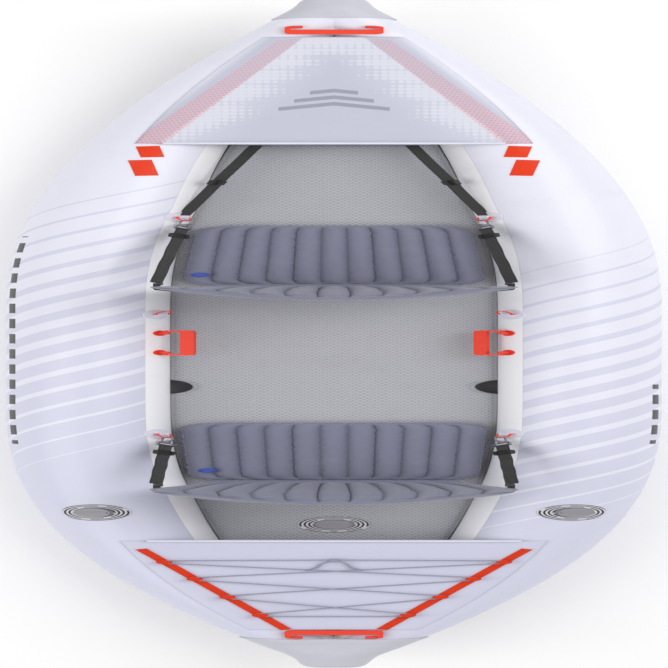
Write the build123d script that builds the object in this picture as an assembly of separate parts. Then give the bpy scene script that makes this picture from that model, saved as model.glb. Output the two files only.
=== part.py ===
from build123d import *
from functools import lru_cache
import math
import os

# Inflatable two-seat kayak.  Millimetres, +Z up, +X to port, bow towards -Y,
# origin on the flat of the bottom amidships.  The hull is described by three
# curves along its length: half beam, tube radius and keel height.

# --- hull, driving dimensions -------------------------------------------------
LENGTH = 3700.0
BEAM = 840.0
TUBE_RADIUS = 105.0
TIP_TUBE_RADIUS = 45.0
SKIN = 1.5              # reinforced bottom and deck fabric
GAP = 0.3               # running clearance between pieces that only touch
HULL_GAP = 0.8          # clearance between the long curved pieces of the hull
BOW_NARROW_START = 150.0
BOW_NARROW_POWER = 2.2
BOW_CLOSE = 0.95
STERN_NARROW_START = 350.0
STERN_NARROW_POWER = 2.7
STERN_CLOSE = 0.98
BOW_TAPER_START = 700.0
BOW_TAPER_POWER = 1.3
STERN_TAPER_START = 900.0
STERN_TAPER_POWER = 1.6
BOW_RISE_START = 700.0
BOW_RISE = 230.0
STERN_RISE_START = 800.0
STERN_RISE = 170.0
RISE_POWER = 2.2
TUBE_END_INSET = 70.0   # tube end to the tip of the hull

# --- floor and decks ----------------------------------------------------------
FLOOR_THICKNESS = 80.0
FLOOR_SIDE_GAP = 1.0
FLOOR_BOW_INSET = 500.0
FLOOR_STERN_INSET = 450.0
FLOOR_NOTCH_Y = 300.0
FLOOR_NOTCH_RADIUS = 42.0
SKIN_CAP_GAP = 5.0               # end of the bottom skin to each nose cap
BOW_DECK_EDGE_INSET = 790.0      # cockpit edge of the deck from the tip
STERN_DECK_EDGE_INSET = 700.0
DECK_TIP_INSET = 210.0
DECK_OVERLAP = 25.0              # deck fabric past the crown of each tube
BATTEN_RADIUS = 4.0
HEM_WALL = 2.0

# --- nose caps ----------------------------------------------------------------
BOW_CAP_LENGTH = 110.0
STERN_CAP_LENGTH = 160.0
CAP_WALL = 3.5
CAP_CLEARANCE = 0.5
# distance from the tip, half width, half height of the solid end
CAP_TIP = ((30.0, 46.0, 38.0), (5.0, 36.0, 26.0), (0.0, 28.0, 18.0))

# --- deck lacing --------------------------------------------------------------
RAIL_WIDTH = 15.0
RAIL_THICKNESS = 2.5
RAIL_FRONT = (244.0, 45.0)       # half spacing, distance aft of the deck edge
RAIL_REAR = (60.0, 488.0)
POST_SHARES = (0.16, 0.37, 0.595, 0.82)
POST_RADIUS = 4.0
POST_HEIGHT = 13.0
POST_CAP_RADIUS = 10.0
POST_CAP_THICKNESS = 2.5
CORD_RADIUS = 2.5
CORD_HUMP = 5.8                  # second strand passes over the first
KNOT_INSET = 105.0               # aft of the deck edge
KNOT_RADIUS = 8.0

# --- carrying handles ---------------------------------------------------------
BOW_HANDLE_INSET = 160.0
STERN_HANDLE_INSET = 170.0
END_HANDLE_HALF = 62.0
END_HANDLE_REACH = 34.0
END_HANDLE_GRIP = 20.0
END_HANDLE_THICKNESS = 8.0
HANDLE_PIN_RADIUS = 3.0
PIN_CLEARANCE = 0.2
HANDLE_ARM = 8.0                 # width of a handle's arm
HANDLE_EYE = 5.2                 # handle material behind its pivot
KEEPER_RADIUS = 6.5
KEEPER_LENGTH = 14.0
HANDLE_PATCH_RADIUS = 15.0
SIDE_HANDLE_Y = 50.0
SIDE_HANDLE_HALF = 70.0
SIDE_HANDLE_BULGE = 36.0
SIDE_HANDLE_BAND = 14.0
SIDE_HANDLE_ANGLE = 62.0         # place on the tube, degrees inward of the crown
PORT_HANDLE_REST = -4.0          # lean of the handle from the tube normal
STARBOARD_HANDLE_REST = -62.0

# --- D-rings ------------------------------------------------------------------
RING_Y = (-655.0, -108.0, 558.0)
RING_NAMES = ("front", "middle", "rear")
RING_ANGLE = 58.0
RING_LEAN = (70.0, -62.0, 70.0)  # degrees from the tube normal towards the stern
RING_WIRE = 2.0
RING_ARC = 14.0
RING_LEG = 9.0
RING_PATCH_RADIUS = 27.0
PATCH_THICKNESS = 2.0
LABEL_ANGLE = 6.0

# --- seats --------------------------------------------------------------------
HINGE_Y = (-262.0, 838.0)
SEAT_NAMES = ("front", "rear")
CUSHION_DEPTH = (347.0, 335.0)
CUSHION_HALF_WIDTHS = ((175.0, 195.0), (198.0, 186.0))   # forward edge, rear edge
CUSHION_THICKNESS = 45.0
CUSHION_CORNER = 40.0
CUSHION_SIDE_CLEARANCE = 6.0
HINGE_LIFT = 8.0                 # backrest hinge above the cushion's top face
BOLSTER_RADIUS = 17.0
BOLSTER_CLEARANCE = 0.6
BACK_RECLINE = 12.0
# height on the backrest, half width, thickness, forward sweep of the wings
BACK_SECTIONS = (
    (8.0, 165.0, 24.0, 2.0),
    (100.0, 200.0, 42.0, 14.0),
    (235.0, 228.0, 44.0, 44.0),
    (315.0, 220.0, 36.0, 54.0),
    (347.0, 185.0, 20.0, 50.0),
)
BAND_LOW = 176.0
BAND_HIGH = 201.0
WEBBING = (25.0, 2.0)            # strap width and thickness

# --- straps and hooks ---------------------------------------------------------
HOOK_WIRE = 1.8
HOOK_HALF = 8.0
HOOK_NOSE_GAP = 1.3
HOOK_LOOP_LENGTH = 28.0
HOOK_BARREL = 12.0
HOOK_EYE = 10.0
GATE_END_CLEARANCE = 0.4         # lets the gate's end turn below its stub
BUCKLE = (36.0, 24.0, 8.0)       # across the strap, along it, through it
BUCKLE_PLACE = 95.0
WING_TAB = (6.0, 30.0, 27.0)      # outward, forward, up the backrest
BAND_CLEARANCE = 0.5
SEAT_VALVE_INSET = 24.0

# --- footrest -----------------------------------------------------------------
FOOTREST_RADIUS = 35.0
FOOTREST_HALF_LENGTH = 118.0
FOOTREST_INSET = 760.0           # from the bow tip
FOOTREST_STRAP_X = 100.0
FOOTREST_STRAP = (20.0, 2.0)
FOOTREST_BUCKLE_PLACE = 190.0    # from the ring keeper

# --- valves -------------------------------------------------------------------
VALVE_Y = 993.0
VALVE_ANGLE = 16.0               # outward of the crown
FLOOR_VALVE_Y = 1076.0
SURROUND_RADIUS = 46.0
FLANGE_RADIUS = 26.0
FLANGE_THICKNESS = 3.0
BARREL_RADIUS = 20.0
BARREL_DEPTH = 30.0
POCKET_DEPTH = 38.0              # pocket in the chamber, with room for the stem
VALVE_BORE_RADIUS = 16.0
SEAT_DEPTH = 24.0
STEM_RADIUS = 3.5
BUTTON_RADIUS = 7.0
VALVE_CAP_RADIUS = 24.0
VALVE_CAP_THICKNESS = 4.0

# --- tracking fin -------------------------------------------------------------
FIN_BOX_FRONT_INSET = 470.0      # from the stern tip
FIN_BOX_LENGTH = 200.0
FIN_BOX_WIDTH = 40.0
FIN_BOX_HEIGHT = 12.0
FIN_DEPTH = 40.0
FIN_THICKNESS = 6.0
FIN_CHORD = 150.0
FIN_SLOT_CLEARANCE = 0.3

os.makedirs("parts", exist_ok=True)


# --- hull curves --------------------------------------------------------------
def share(value, low, high):
    """Position of a value between low and high, clamped to 0..1."""
    return min(max((value - low) / (high - low), 0.0), 1.0)


def half_beam(y):
    """Half beam: BEAM/2 (1 - close share(|y|, start, L/2)^power)."""
    if y < 0:
        start, power, close = BOW_NARROW_START, BOW_NARROW_POWER, BOW_CLOSE
    else:
        start, power, close = STERN_NARROW_START, STERN_NARROW_POWER, STERN_CLOSE
    return BEAM / 2 * (1 - close * share(abs(y), start, LENGTH / 2) ** power)


def tube_radius(y):
    """Tube radius, falling to TIP_TUBE_RADIUS at the tips."""
    start, power = (BOW_TAPER_START, BOW_TAPER_POWER) if y < 0 else (STERN_TAPER_START, STERN_TAPER_POWER)
    return TUBE_RADIUS - (TUBE_RADIUS - TIP_TUBE_RADIUS) * share(abs(y), start, LENGTH / 2) ** power


def keel(y):
    """Height of the underside of the bottom skin."""
    start, rise = (BOW_RISE_START, BOW_RISE) if y < 0 else (STERN_RISE_START, STERN_RISE)
    return rise * share(abs(y), start, LENGTH / 2) ** RISE_POWER


def tube_x(y):
    return half_beam(y) - tube_radius(y)


def tube_z(y):
    return keel(y) + SKIN + HULL_GAP + tube_radius(y)


def tube_top(y):
    return tube_z(y) + tube_radius(y)


def floor_top(y):
    return keel(y) + SKIN + HULL_GAP + FLOOR_THICKNESS


def inner_gap(y):
    """Half of the clear width between the tubes."""
    return tube_x(y) - tube_radius(y)


def floor_half_width(y):
    """Half width of the floor pad: as wide as the tubes allow at its top face."""
    r = tube_radius(y)
    rise = r - min(FLOOR_THICKNESS, r)
    return tube_x(y) - math.sqrt(r * r - rise * rise) - FLOOR_SIDE_GAP


def bow(inset):
    return -LENGTH / 2 + inset


def stern(inset):
    return LENGTH / 2 - inset


# --- general helpers ----------------------------------------------------------
def spread(low, high, count):
    return [low + (high - low) * i / (count - 1) for i in range(count)]


def rod(start, end, radius):
    """Round bar between two points."""
    start, end = Vector(*start), Vector(*end)
    axis = end - start
    return Solid.make_cylinder(radius, axis.length, Plane(start, z_dir=axis))


def box_on(plane, size_x, size_y, low, high):
    """Block on a plane, centred in x and y, from low to high along its normal."""
    block = Box(size_x, size_y, high - low, align=(Align.CENTER, Align.CENTER, Align.MIN))
    return plane * (Pos(0, 0, low) * block)


def disc_on(plane, radius, low, high):
    cylinder = Cylinder(radius, high - low, align=(Align.CENTER, Align.CENTER, Align.MIN))
    return plane * (Pos(0, 0, low) * cylinder)


def sheet(height_at, y_low, y_high, thickness, half_width, count=9):
    """Plate that follows a height curve along the hull and is level across it."""
    ys = spread(y_low, y_high, count)
    lower = Spline(*[(-half_width, y, height_at(y)) for y in ys])
    upper = Spline(*[(-half_width, y, height_at(y) + thickness) for y in ys])
    ends = [Line(lower @ 0, upper @ 0), Line(lower @ 1, upper @ 1)]
    return extrude(make_face([lower, ends[1], upper, ends[0]]), amount=2 * half_width, dir=(1, 0, 0))


def keel_sheet(y_low, y_high, lift, thickness, half_width):
    """Plate on the keel line, exactly flat between the two rises."""
    edges = []
    for top in (0.0, thickness):
        fore = [(-half_width, y, keel(y) + lift + top) for y in spread(y_low, -BOW_RISE_START, 9)]
        aft = [(-half_width, y, keel(y) + lift + top) for y in spread(STERN_RISE_START, y_high, 9)]
        edges.append(Spline(*fore, tangents=[Vector(*fore[1]) - Vector(*fore[0]), (0, 1, 0)]))
        edges.append(Line(fore[-1], aft[0]))
        edges.append(Spline(*aft, tangents=[(0, 1, 0), Vector(*aft[-1]) - Vector(*aft[-2])]))
    edges.append(Line(edges[0] @ 0, edges[3] @ 0))
    edges.append(Line(edges[2] @ 1, edges[5] @ 1))
    return extrude(make_face(edges), amount=2 * half_width, dir=(1, 0, 0))


def plan_prism(half_width_at, y_low, y_high, count=15):
    """Upright prism between two mirrored side curves."""
    ys = spread(y_low, y_high, count)
    port = Spline(*[(half_width_at(y), y, -50) for y in ys])
    starboard = Spline(*[(-half_width_at(y), y, -50) for y in ys])
    ends = [Line(port @ 0, starboard @ 0), Line(port @ 1, starboard @ 1)]
    return extrude(make_face([port, ends[1], starboard, ends[0]]), amount=900, dir=(0, 0, 1))


def polygon_prism(points):
    """Upright prism over a plan polygon, tall enough to cut any part of the hull."""
    face = make_face(Polyline(*[(x, y, -50) for x, y in points], close=True))
    return extrude(face, amount=900, dir=(0, 0, 1))


def tube_body(extra, ys):
    """Round tube on the port tube's centre line, extra larger in radius."""
    rings = []
    for y in ys:
        plane = Plane((tube_x(y), y, tube_z(y)), x_dir=(1, 0, 0), z_dir=(0, 1, 0))
        rings.append(plane * Circle(tube_radius(y) + extra))
    return loft(rings)


def hull_stations():
    middle = spread(bow(TUBE_END_INSET + 160), stern(TUBE_END_INSET + 160), 19)
    fore = [bow(TUBE_END_INSET), bow(TUBE_END_INSET + 40), bow(TUBE_END_INSET + 95)]
    aft = [stern(TUBE_END_INSET + 95), stern(TUBE_END_INSET + 40), stern(TUBE_END_INSET)]
    return fore + middle + aft


@lru_cache
def hull_tube(extra):
    """Full-length body of the port tube, extra larger in radius."""
    return tube_body(extra, hull_stations())


@lru_cache
def tube_layer(lift, thickness):
    """Layer round the port tube between two heights above its surface."""
    return hull_tube(lift + thickness) - hull_tube(lift)


def tube_point(y, inward):
    a = math.radians(inward)
    r = tube_radius(y)
    return Vector(tube_x(y) - r * math.sin(a), y, tube_z(y) + r * math.cos(a))


def on_tube(y, inward):
    """Plane on the port tube: z is the outward normal, x across, y lengthwise.

    inward is the angle from the crown towards the cockpit, in degrees.
    """
    a = math.radians(inward)
    across = Vector(math.cos(a), 0, math.sin(a))
    lengthwise = tube_point(y + 5, inward) - tube_point(y - 5, inward)
    return Plane(tube_point(y, inward), x_dir=across, z_dir=across.cross(lengthwise))


def mirrored(shape):
    return mirror(shape, about=Plane.YZ)


def solids_of(shape):
    """All solids of a shape or of a nested list of shapes."""
    if isinstance(shape, (list, tuple)):
        return [s for item in shape for s in solids_of(item)]
    return list(shape.solids())


def write(name, *shapes):
    """Write one node: the given shapes as separate solids."""
    solids = solids_of(list(shapes))
    export_step(Compound(children=solids) if len(solids) > 1 else solids[0], f"parts/{name}.step")


# --- hull shells --------------------------------------------------------------
def side_tube():
    """Port tube, cut at the centre plane where the tubes meet at the tips."""
    half_space = Pos(BEAM / 2 + GAP / 2, 0, 300) * Box(BEAM, LENGTH, 900)
    tube = hull_tube(0) & half_space
    plane = on_tube(VALVE_Y, -VALVE_ANGLE)
    return tube - disc_on(plane, BARREL_RADIUS + GAP, -POCKET_DEPTH, 20)


def bottom_skin():
    low, high = bow(BOW_CAP_LENGTH + SKIN_CAP_GAP), stern(STERN_CAP_LENGTH + SKIN_CAP_GAP)
    band = keel_sheet(low, high, 0, SKIN, BEAM)
    return band & plan_prism(tube_x, low, high, 21)


def air_floor():
    low, high = bow(FLOOR_BOW_INSET), stern(FLOOR_STERN_INSET)
    band = keel_sheet(low, high, SKIN + HULL_GAP, FLOOR_THICKNESS, BEAM)
    pad = band & plan_prism(floor_half_width, low, high, 17)
    for side in (-1, 1):
        edge = floor_half_width(FLOOR_NOTCH_Y) + 12
        pad -= Pos(side * edge, FLOOR_NOTCH_Y, FLOOR_THICKNESS / 2) * Cylinder(FLOOR_NOTCH_RADIUS, 3 * FLOOR_THICKNESS)
    return pad - disc_on(floor_valve_plane(), BARREL_RADIUS + GAP, -POCKET_DEPTH, 20)


def floor_valve_plane():
    """Plane on the floor at its valve, tilted with the floor's slope."""
    rise = floor_top(FLOOR_VALVE_Y + 30) - floor_top(FLOOR_VALVE_Y - 30)
    normal = Vector(0, -rise, 60).normalized()
    return Plane((0, FLOOR_VALVE_Y, floor_top(FLOOR_VALVE_Y)), x_dir=(1, 0, 0), z_dir=normal)


def deck_top(y):
    return tube_top(y) + GAP + SKIN


def deck(y_low, y_high):
    """Deck fabric stretched over the crowns of the two tubes."""
    band = sheet(lambda y: tube_top(y) + GAP, y_low, y_high, SKIN, BEAM)
    return band & plan_prism(lambda y: tube_x(y) + DECK_OVERLAP, y_low, y_high)


def hem(y_edge):
    """Rolled hem above the deck's cockpit edge, hollow for the batten."""
    half = tube_x(y_edge) - 10
    outer = BATTEN_RADIUS + GAP / 2 + HEM_WALL
    z = deck_top(y_edge) + outer - 0.6
    shell = rod((-half, y_edge, z), (half, y_edge, z), outer)
    return shell - rod((-half + HEM_WALL, y_edge, z), (half - HEM_WALL, y_edge, z), BATTEN_RADIUS + GAP / 2)


def batten(y_edge):
    half = tube_x(y_edge) - 10 - HEM_WALL - GAP
    z = deck_top(y_edge) + BATTEN_RADIUS + GAP / 2 + HEM_WALL - 0.6
    return rod((-half, y_edge, z), (half, y_edge, z), BATTEN_RADIUS)


def stadium(y, half_x, half_z):
    plane = Plane((0, y, tube_z(y)), x_dir=(1, 0, 0), z_dir=(0, 1, 0))
    return plane * SlotOverall(2 * half_x, 2 * half_z)


def nose_cap(length, direction):
    """Moulded cap over the joined tube ends; direction -1 is the bow."""
    tip = direction * LENGTH / 2
    ys = spread(tip - direction * length, tip - direction * TUBE_END_INSET, 4)
    outer = [stadium(y, half_beam(y) + CAP_CLEARANCE + CAP_WALL, tube_radius(y) + CAP_CLEARANCE + CAP_WALL)
             for y in ys]
    outer += [stadium(tip - direction * inset, half_x, half_z) for inset, half_x, half_z in CAP_TIP]
    inner = [stadium(y, half_beam(y) + CAP_CLEARANCE, tube_radius(y) + CAP_CLEARANCE) for y in ys]
    return loft(outer) - loft(inner)


# --- deck lacing --------------------------------------------------------------
def rail_point(part):
    """Point on the port rail's centre line; part runs 0..1 from front to rear."""
    x = RAIL_FRONT[0] + (RAIL_REAR[0] - RAIL_FRONT[0]) * part
    inset = RAIL_FRONT[1] + (RAIL_REAR[1] - RAIL_FRONT[1]) * part
    return Vector(x, stern(STERN_DECK_EDGE_INSET) + inset, 0)


def rail_base(y):
    return deck_top(y) + GAP


def lacing_rail():
    """Port rail: welded strip with four hooks for the lacing."""
    start, end = rail_point(0), rail_point(1)
    side = (end - start).normalized().cross(Vector(0, 0, 1)) * (RAIL_WIDTH / 2)
    outline = polygon_prism([tuple(p)[:2] for p in (start + side, end + side, end - side, start - side)])
    posts = []
    for part in POST_SHARES:
        p = rail_point(part)
        outline += Pos(p.X, p.Y, 400) * Cylinder(POST_CAP_RADIUS, 900)
        base = rail_base(p.Y) + RAIL_THICKNESS
        posts.append(rod((p.X, p.Y, base - 1), (p.X, p.Y, base + POST_HEIGHT), POST_RADIUS))
        top = base + POST_HEIGHT
        posts.append(rod((p.X, p.Y, top - 0.5), (p.X, p.Y, top + POST_CAP_THICKNESS), POST_CAP_RADIUS))
    strip = sheet(rail_base, start.Y - 20, end.Y + 20, RAIL_THICKNESS, BEAM / 2) & outline
    for piece in posts:
        strip += piece
    return strip


def hook_point(part, side, lift=0.0):
    p = rail_point(part)
    z = rail_base(p.Y) + RAIL_THICKNESS + POST_HEIGHT / 2 + lift
    return Vector(side * p.X, p.Y, z)


def knot_point():
    y = stern(STERN_DECK_EDGE_INSET) + KNOT_INSET
    return Vector(0, y, hook_point(POST_SHARES[0], 1).Z)


def lacing_route():
    """Corner points of the lacing and the bend radius at each.

    It leaves the knot, zigzags aft over the hooks, crosses behind the last pair
    and zigzags forward again, so that every gap holds a crossing.
    """
    order = [(0, 1), (1, -1), (2, 1), (3, -1), (3, 1), (2, -1), (1, 1), (0, -1)]
    centres = [hook_point(POST_SHARES[i], side) for i, side in order]
    knot = knot_point()
    left = Vector(KNOT_RADIUS - 4, knot.Y, knot.Z)
    right = Vector(-(KNOT_RADIUS - 4), knot.Y, knot.Z)
    turn = POST_RADIUS + CORD_RADIUS + GAP
    corners = list(centres)
    for _ in range(6):
        moved = []
        for i, centre in enumerate(centres):
            before = left if i == 0 else corners[i - 1]
            after = right if i == len(centres) - 1 else corners[i + 1]
            a, b = (before - corners[i]).normalized(), (after - corners[i]).normalized()
            half = math.radians(a.get_angle(b)) / 2
            outward = (a + b).normalized() * -1
            moved.append(centre + outward * (turn / math.sin(half)))
        corners = moved
    points, radii = [left], []
    for i, corner in enumerate(corners):
        if i > 4:
            points.extend(hump(corners[i - 1], corner))
            radii.extend([30.0] * 3)
        points.append(corner)
        radii.append(turn)
    points.append(right)
    return points, radii


def hump(start, end):
    """Three points that lift the second strand over the first at mid deck."""
    run = end - start
    part = start.X / (start.X - end.X)
    crest = start + run * part
    step = run.normalized() * 26
    lift = Vector(0, 0, CORD_HUMP)
    return [crest - step, crest + lift, crest + step]


def bungee_cord():
    """Elastic lacing cord, and its two free tails beyond the knot."""
    points, radii = lacing_route()
    path = FilletPolyline(*points, radius=radii)
    section = Plane(path @ 0, z_dir=path % 0) * Circle(CORD_RADIUS)
    tails = []
    knot = knot_point()
    for side in (1, -1):
        route = [knot + Vector(side * 5, KNOT_RADIUS - 3, 0), knot + Vector(side * 16, 22, -2),
                 knot + Vector(side * 22, 44, -5), knot + Vector(side * 36, 60, -6.5)]
        route = [Vector(p.X, p.Y, p.Z - (tube_top(knot.Y) - tube_top(p.Y))) for p in route]
        tail = FilletPolyline(*route, radius=18)
        tails.append(sweep(Plane(tail @ 0, z_dir=tail % 0) * Circle(CORD_RADIUS), path=tail))
    print("lacing turns", [round(r, 1) for r in radii])
    return [sweep(section, path=path)] + tails


def bungee_knot():
    knot = knot_point()
    return Plane(knot) * Sphere(KNOT_RADIUS)


# --- carrying handles ---------------------------------------------------------
def bail(half, reach, grip, thickness):
    """Handle blank on the XY plane: pivot axis along X through the origin."""
    outer = Pos(0, reach / 2) * RectangleRounded(2 * half, reach + 2 * HANDLE_EYE, 9)
    inner = Pos(0, (reach - grip) / 2) * Rectangle(2 * (half - HANDLE_ARM), reach - grip + 2 * HANDLE_EYE)
    opening = Pos(0, -HANDLE_EYE) * inner
    blank = extrude(outer - opening, amount=thickness / 2, both=True)
    for side in (-1, 1):
        end = side * (half - HANDLE_ARM - KEEPER_LENGTH - 1)
        blank += rod((side * (half - 2), 0, 0), (end, 0, 0), HANDLE_PIN_RADIUS)
    return blank


def end_handle_plane(direction):
    """Pivot plane of an end handle; local y points along the deck at the cockpit."""
    y = bow(BOW_HANDLE_INSET) if direction < 0 else stern(STERN_HANDLE_INSET)
    ahead = y - direction * END_HANDLE_REACH
    rise = tube_top(ahead) - tube_top(y)
    along = Vector(0, ahead - y, rise).normalized()
    origin = Vector(0, y, tube_top(y) + GAP + SKIN + KEEPER_RADIUS + GAP)
    return Plane(origin, x_dir=(-direction, 0, 0), z_dir=Vector(-direction, 0, 0).cross(along))


def end_handle(direction):
    return end_handle_plane(direction) * bail(END_HANDLE_HALF, END_HANDLE_REACH, END_HANDLE_GRIP, END_HANDLE_THICKNESS)


def keepers(plane, half, foot_depth):
    """Pair of bored keepers that carry a handle's pins."""
    made = []
    for side in (-1, 1):
        middle = side * (half - HANDLE_ARM - 1 - KEEPER_LENGTH / 2)
        body = Pos(middle, 0, 0) * (Rot(0, 90, 0) * Cylinder(KEEPER_RADIUS, KEEPER_LENGTH - 1))
        foot = Box(KEEPER_LENGTH - 1, 2 * KEEPER_RADIUS, foot_depth, align=(Align.CENTER, Align.CENTER, Align.MAX))
        body += Pos(middle, 0, 0) * foot
        body -= Pos(middle, 0, 0) * (Rot(0, 90, 0) * Cylinder(HANDLE_PIN_RADIUS + PIN_CLEARANCE, 2 * KEEPER_LENGTH))
        made.append(plane * body)
    return made


def side_handle_plane(rest):
    """Pivot plane of the port side handle; local y leans from the tube normal."""
    surface = on_tube(SIDE_HANDLE_Y, SIDE_HANDLE_ANGLE)
    origin = surface.origin + surface.z_dir * (KEEPER_RADIUS + PATCH_THICKNESS + 2 * GAP)
    along = Vector(0, 1, 0)
    lean = Vector(surface.z_dir.X, 0, surface.z_dir.Z).normalized().rotate(Axis((0, 0, 0), (0, 1, 0)), rest)
    return Plane(origin, x_dir=along, z_dir=along.cross(lean))


def side_handle(rest):
    return side_handle_plane(rest) * bail(SIDE_HANDLE_HALF, SIDE_HANDLE_BULGE, SIDE_HANDLE_BAND, END_HANDLE_THICKNESS)


def handle_anchors():
    made = []
    for direction in (-1, 1):
        made += keepers(end_handle_plane(direction), END_HANDLE_HALF, KEEPER_RADIUS + SKIN)
    surface = on_tube(SIDE_HANDLE_Y, SIDE_HANDLE_ANGLE)
    pivot = side_handle_plane(0)
    upright = Plane(pivot.origin, x_dir=(0, 1, 0), z_dir=surface.z_dir)
    side = keepers(upright, SIDE_HANDLE_HALF, KEEPER_RADIUS)
    patches = [round_patch(SIDE_HANDLE_Y + s * (SIDE_HANDLE_HALF - HANDLE_ARM - 1 - KEEPER_LENGTH / 2), SIDE_HANDLE_ANGLE,
                           HANDLE_PATCH_RADIUS) for s in (-1, 1)]
    side += patches
    return made + side + [mirrored(s) for s in side]


# --- D-rings ------------------------------------------------------------------
def round_patch(y, inward, radius):
    """Welded disc that follows the port tube."""
    return tube_layer(GAP, PATCH_THICKNESS) & disc_on(on_tube(y, inward), radius, -30, 20)


def ring_bar_height():
    return GAP + PATCH_THICKNESS + RING_WIRE + 2.5


def ring_keeper(y):
    """Webbing keeper on the patch, bored for the ring's straight bar."""
    plane = on_tube(y, RING_ANGLE)
    body = box_on(plane, 2 * RING_ARC - 8, 12, GAP + PATCH_THICKNESS - 0.2, ring_bar_height() + RING_WIRE + 2)
    bore = disc_on(bar_plane(y, 0), RING_WIRE + PIN_CLEARANCE, -40, 40)
    return body - bore


def bar_plane(y, lean):
    """Plane at the bar of a D-ring: z along the bar, x towards the arc."""
    surface = on_tube(y, RING_ANGLE)
    bar = surface.x_dir
    a = math.radians(lean)
    towards = surface.z_dir * math.cos(a) + surface.y_dir * math.sin(a)
    return Plane(surface.origin + surface.z_dir * ring_bar_height(), x_dir=towards, z_dir=bar)


def d_ring(y, lean):
    """Bar, two legs and a half-round arc, as one bent wire."""
    plane = bar_plane(y, lean)
    bar = disc_on(plane, RING_WIRE, -RING_ARC, RING_ARC)
    legs = [plane * rod((0, 0, s * RING_ARC), (RING_LEG, 0, s * RING_ARC), RING_WIRE) for s in (-1, 1)]
    corners = [plane * (Pos(0, 0, s * RING_ARC) * Sphere(RING_WIRE)) for s in (-1, 1)]
    arc = Plane((RING_LEG, 0, 0), x_dir=(1, 0, 0), z_dir=(0, -1, 0)) * Torus(RING_ARC, RING_WIRE)
    half = Pos(RING_LEG + RING_ARC, 0, 0) * Box(2 * RING_ARC, 4 * RING_ARC, 4 * RING_ARC)
    ring = bar + legs[0] + legs[1] + corners[0] + corners[1]
    return ring + plane * (arc & half)


def ring_top(y, lean):
    plane = bar_plane(y, lean)
    return plane.origin + plane.x_dir * (RING_LEG + RING_ARC)


# --- seats --------------------------------------------------------------------
def seat_floor(i):
    return floor_top(HINGE_Y[i]) + GAP


def hinge_point(i):
    return Vector(0, HINGE_Y[i], seat_floor(i) + CUSHION_THICKNESS + HINGE_LIFT)


def cushion_rear(i):
    """Rear face of a cushion, one clearance from the bolster."""
    reach = BOLSTER_RADIUS + BOLSTER_CLEARANCE
    return HINGE_Y[i] - math.sqrt(reach ** 2 - HINGE_LIFT ** 2)


def cushion_half_width(i, end):
    """Half width at the forward (0) or rear (1) edge, limited by the tubes."""
    y = HINGE_Y[i] - CUSHION_DEPTH[i] if end == 0 else cushion_rear(i)
    return min(CUSHION_HALF_WIDTHS[i][end], inner_gap(y) - CUSHION_SIDE_CLEARANCE)


def cushion(i):
    """Seat cushion lying on the floor."""
    front, rear = HINGE_Y[i] - CUSHION_DEPTH[i], cushion_rear(i)
    a, b = cushion_half_width(i, 0), cushion_half_width(i, 1)
    z = seat_floor(i)
    outline = make_face(Polyline((-a, front, z), (a, front, z), (b, rear, z), (-b, rear, z), close=True))
    pad = extrude(outline, amount=CUSHION_THICKNESS, dir=(0, 0, 1))
    return fillet(pad.edges().filter_by(Axis.Z), CUSHION_CORNER)


def seat_valve(i):
    """Small inflation valve near the rear port corner of a cushion."""
    x = cushion_half_width(i, 1) - SEAT_VALVE_INSET
    plane = Plane((x, cushion_rear(i) - 55, seat_floor(i) + CUSHION_THICKNESS + GAP))
    return disc_on(plane, 12.5, 0, 3) + disc_on(plane, 8, 3, 9)


def back_plane(i, height):
    """Cross-section plane of a backrest: local x across, local y aft."""
    a = math.radians(BACK_RECLINE)
    up = Vector(0, math.sin(a), math.cos(a))
    return Plane(hinge_point(i) + up * height, x_dir=(1, 0, 0), z_dir=up)


def back_section(i, height, half, thickness, sweep_forward, extra=0.0):
    """Curved slab section with its ends swept forward."""
    end, mid = 0.3 * thickness + extra, thickness / 2 + extra
    half += extra
    front = ThreePointArc((-half, -sweep_forward - end), (0, -mid), (half, -sweep_forward - end))
    rear = ThreePointArc((half, -sweep_forward + end), (0, mid), (-half, -sweep_forward + end))
    face = make_face([front, Line(front @ 1, rear @ 0), rear, Line(rear @ 1, front @ 0)])
    return back_plane(i, height) * face


def back_values(height):
    """Half width, thickness and sweep of the backrest at a height."""
    for low, high in zip(BACK_SECTIONS, BACK_SECTIONS[1:]):
        if height <= high[0]:
            part = (height - low[0]) / (high[0] - low[0])
            return [a + (b - a) * part for a, b in zip(low[1:], high[1:])]
    return list(BACK_SECTIONS[-1][1:])


def backrest(i):
    """Padded backrest with its bolster on the hinge line."""
    panel = loft([back_section(i, *values) for values in BACK_SECTIONS], ruled=True)
    half = BACK_SECTIONS[0][1]
    hinge = hinge_point(i)
    return panel + rod(hinge - Vector(half, 0, 0), hinge + Vector(half, 0, 0), BOLSTER_RADIUS)


def wing_tab_centre(i):
    """Middle of the port wing tab's inner face."""
    height = (BAND_LOW + BAND_HIGH) / 2
    half, _, sweep_forward = back_values(height)
    plane = back_plane(i, height)
    return plane.origin + plane.x_dir * (half + BAND_CLEARANCE) - plane.y_dir * sweep_forward


def strap_anchor(i):
    """Port point where a seat strap is sewn to the wing tab."""
    plane = back_plane(i, 0)
    out, forward, _ = WING_TAB
    return wing_tab_centre(i) + plane.x_dir * (out / 2) - plane.y_dir * (forward * 0.7)


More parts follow.
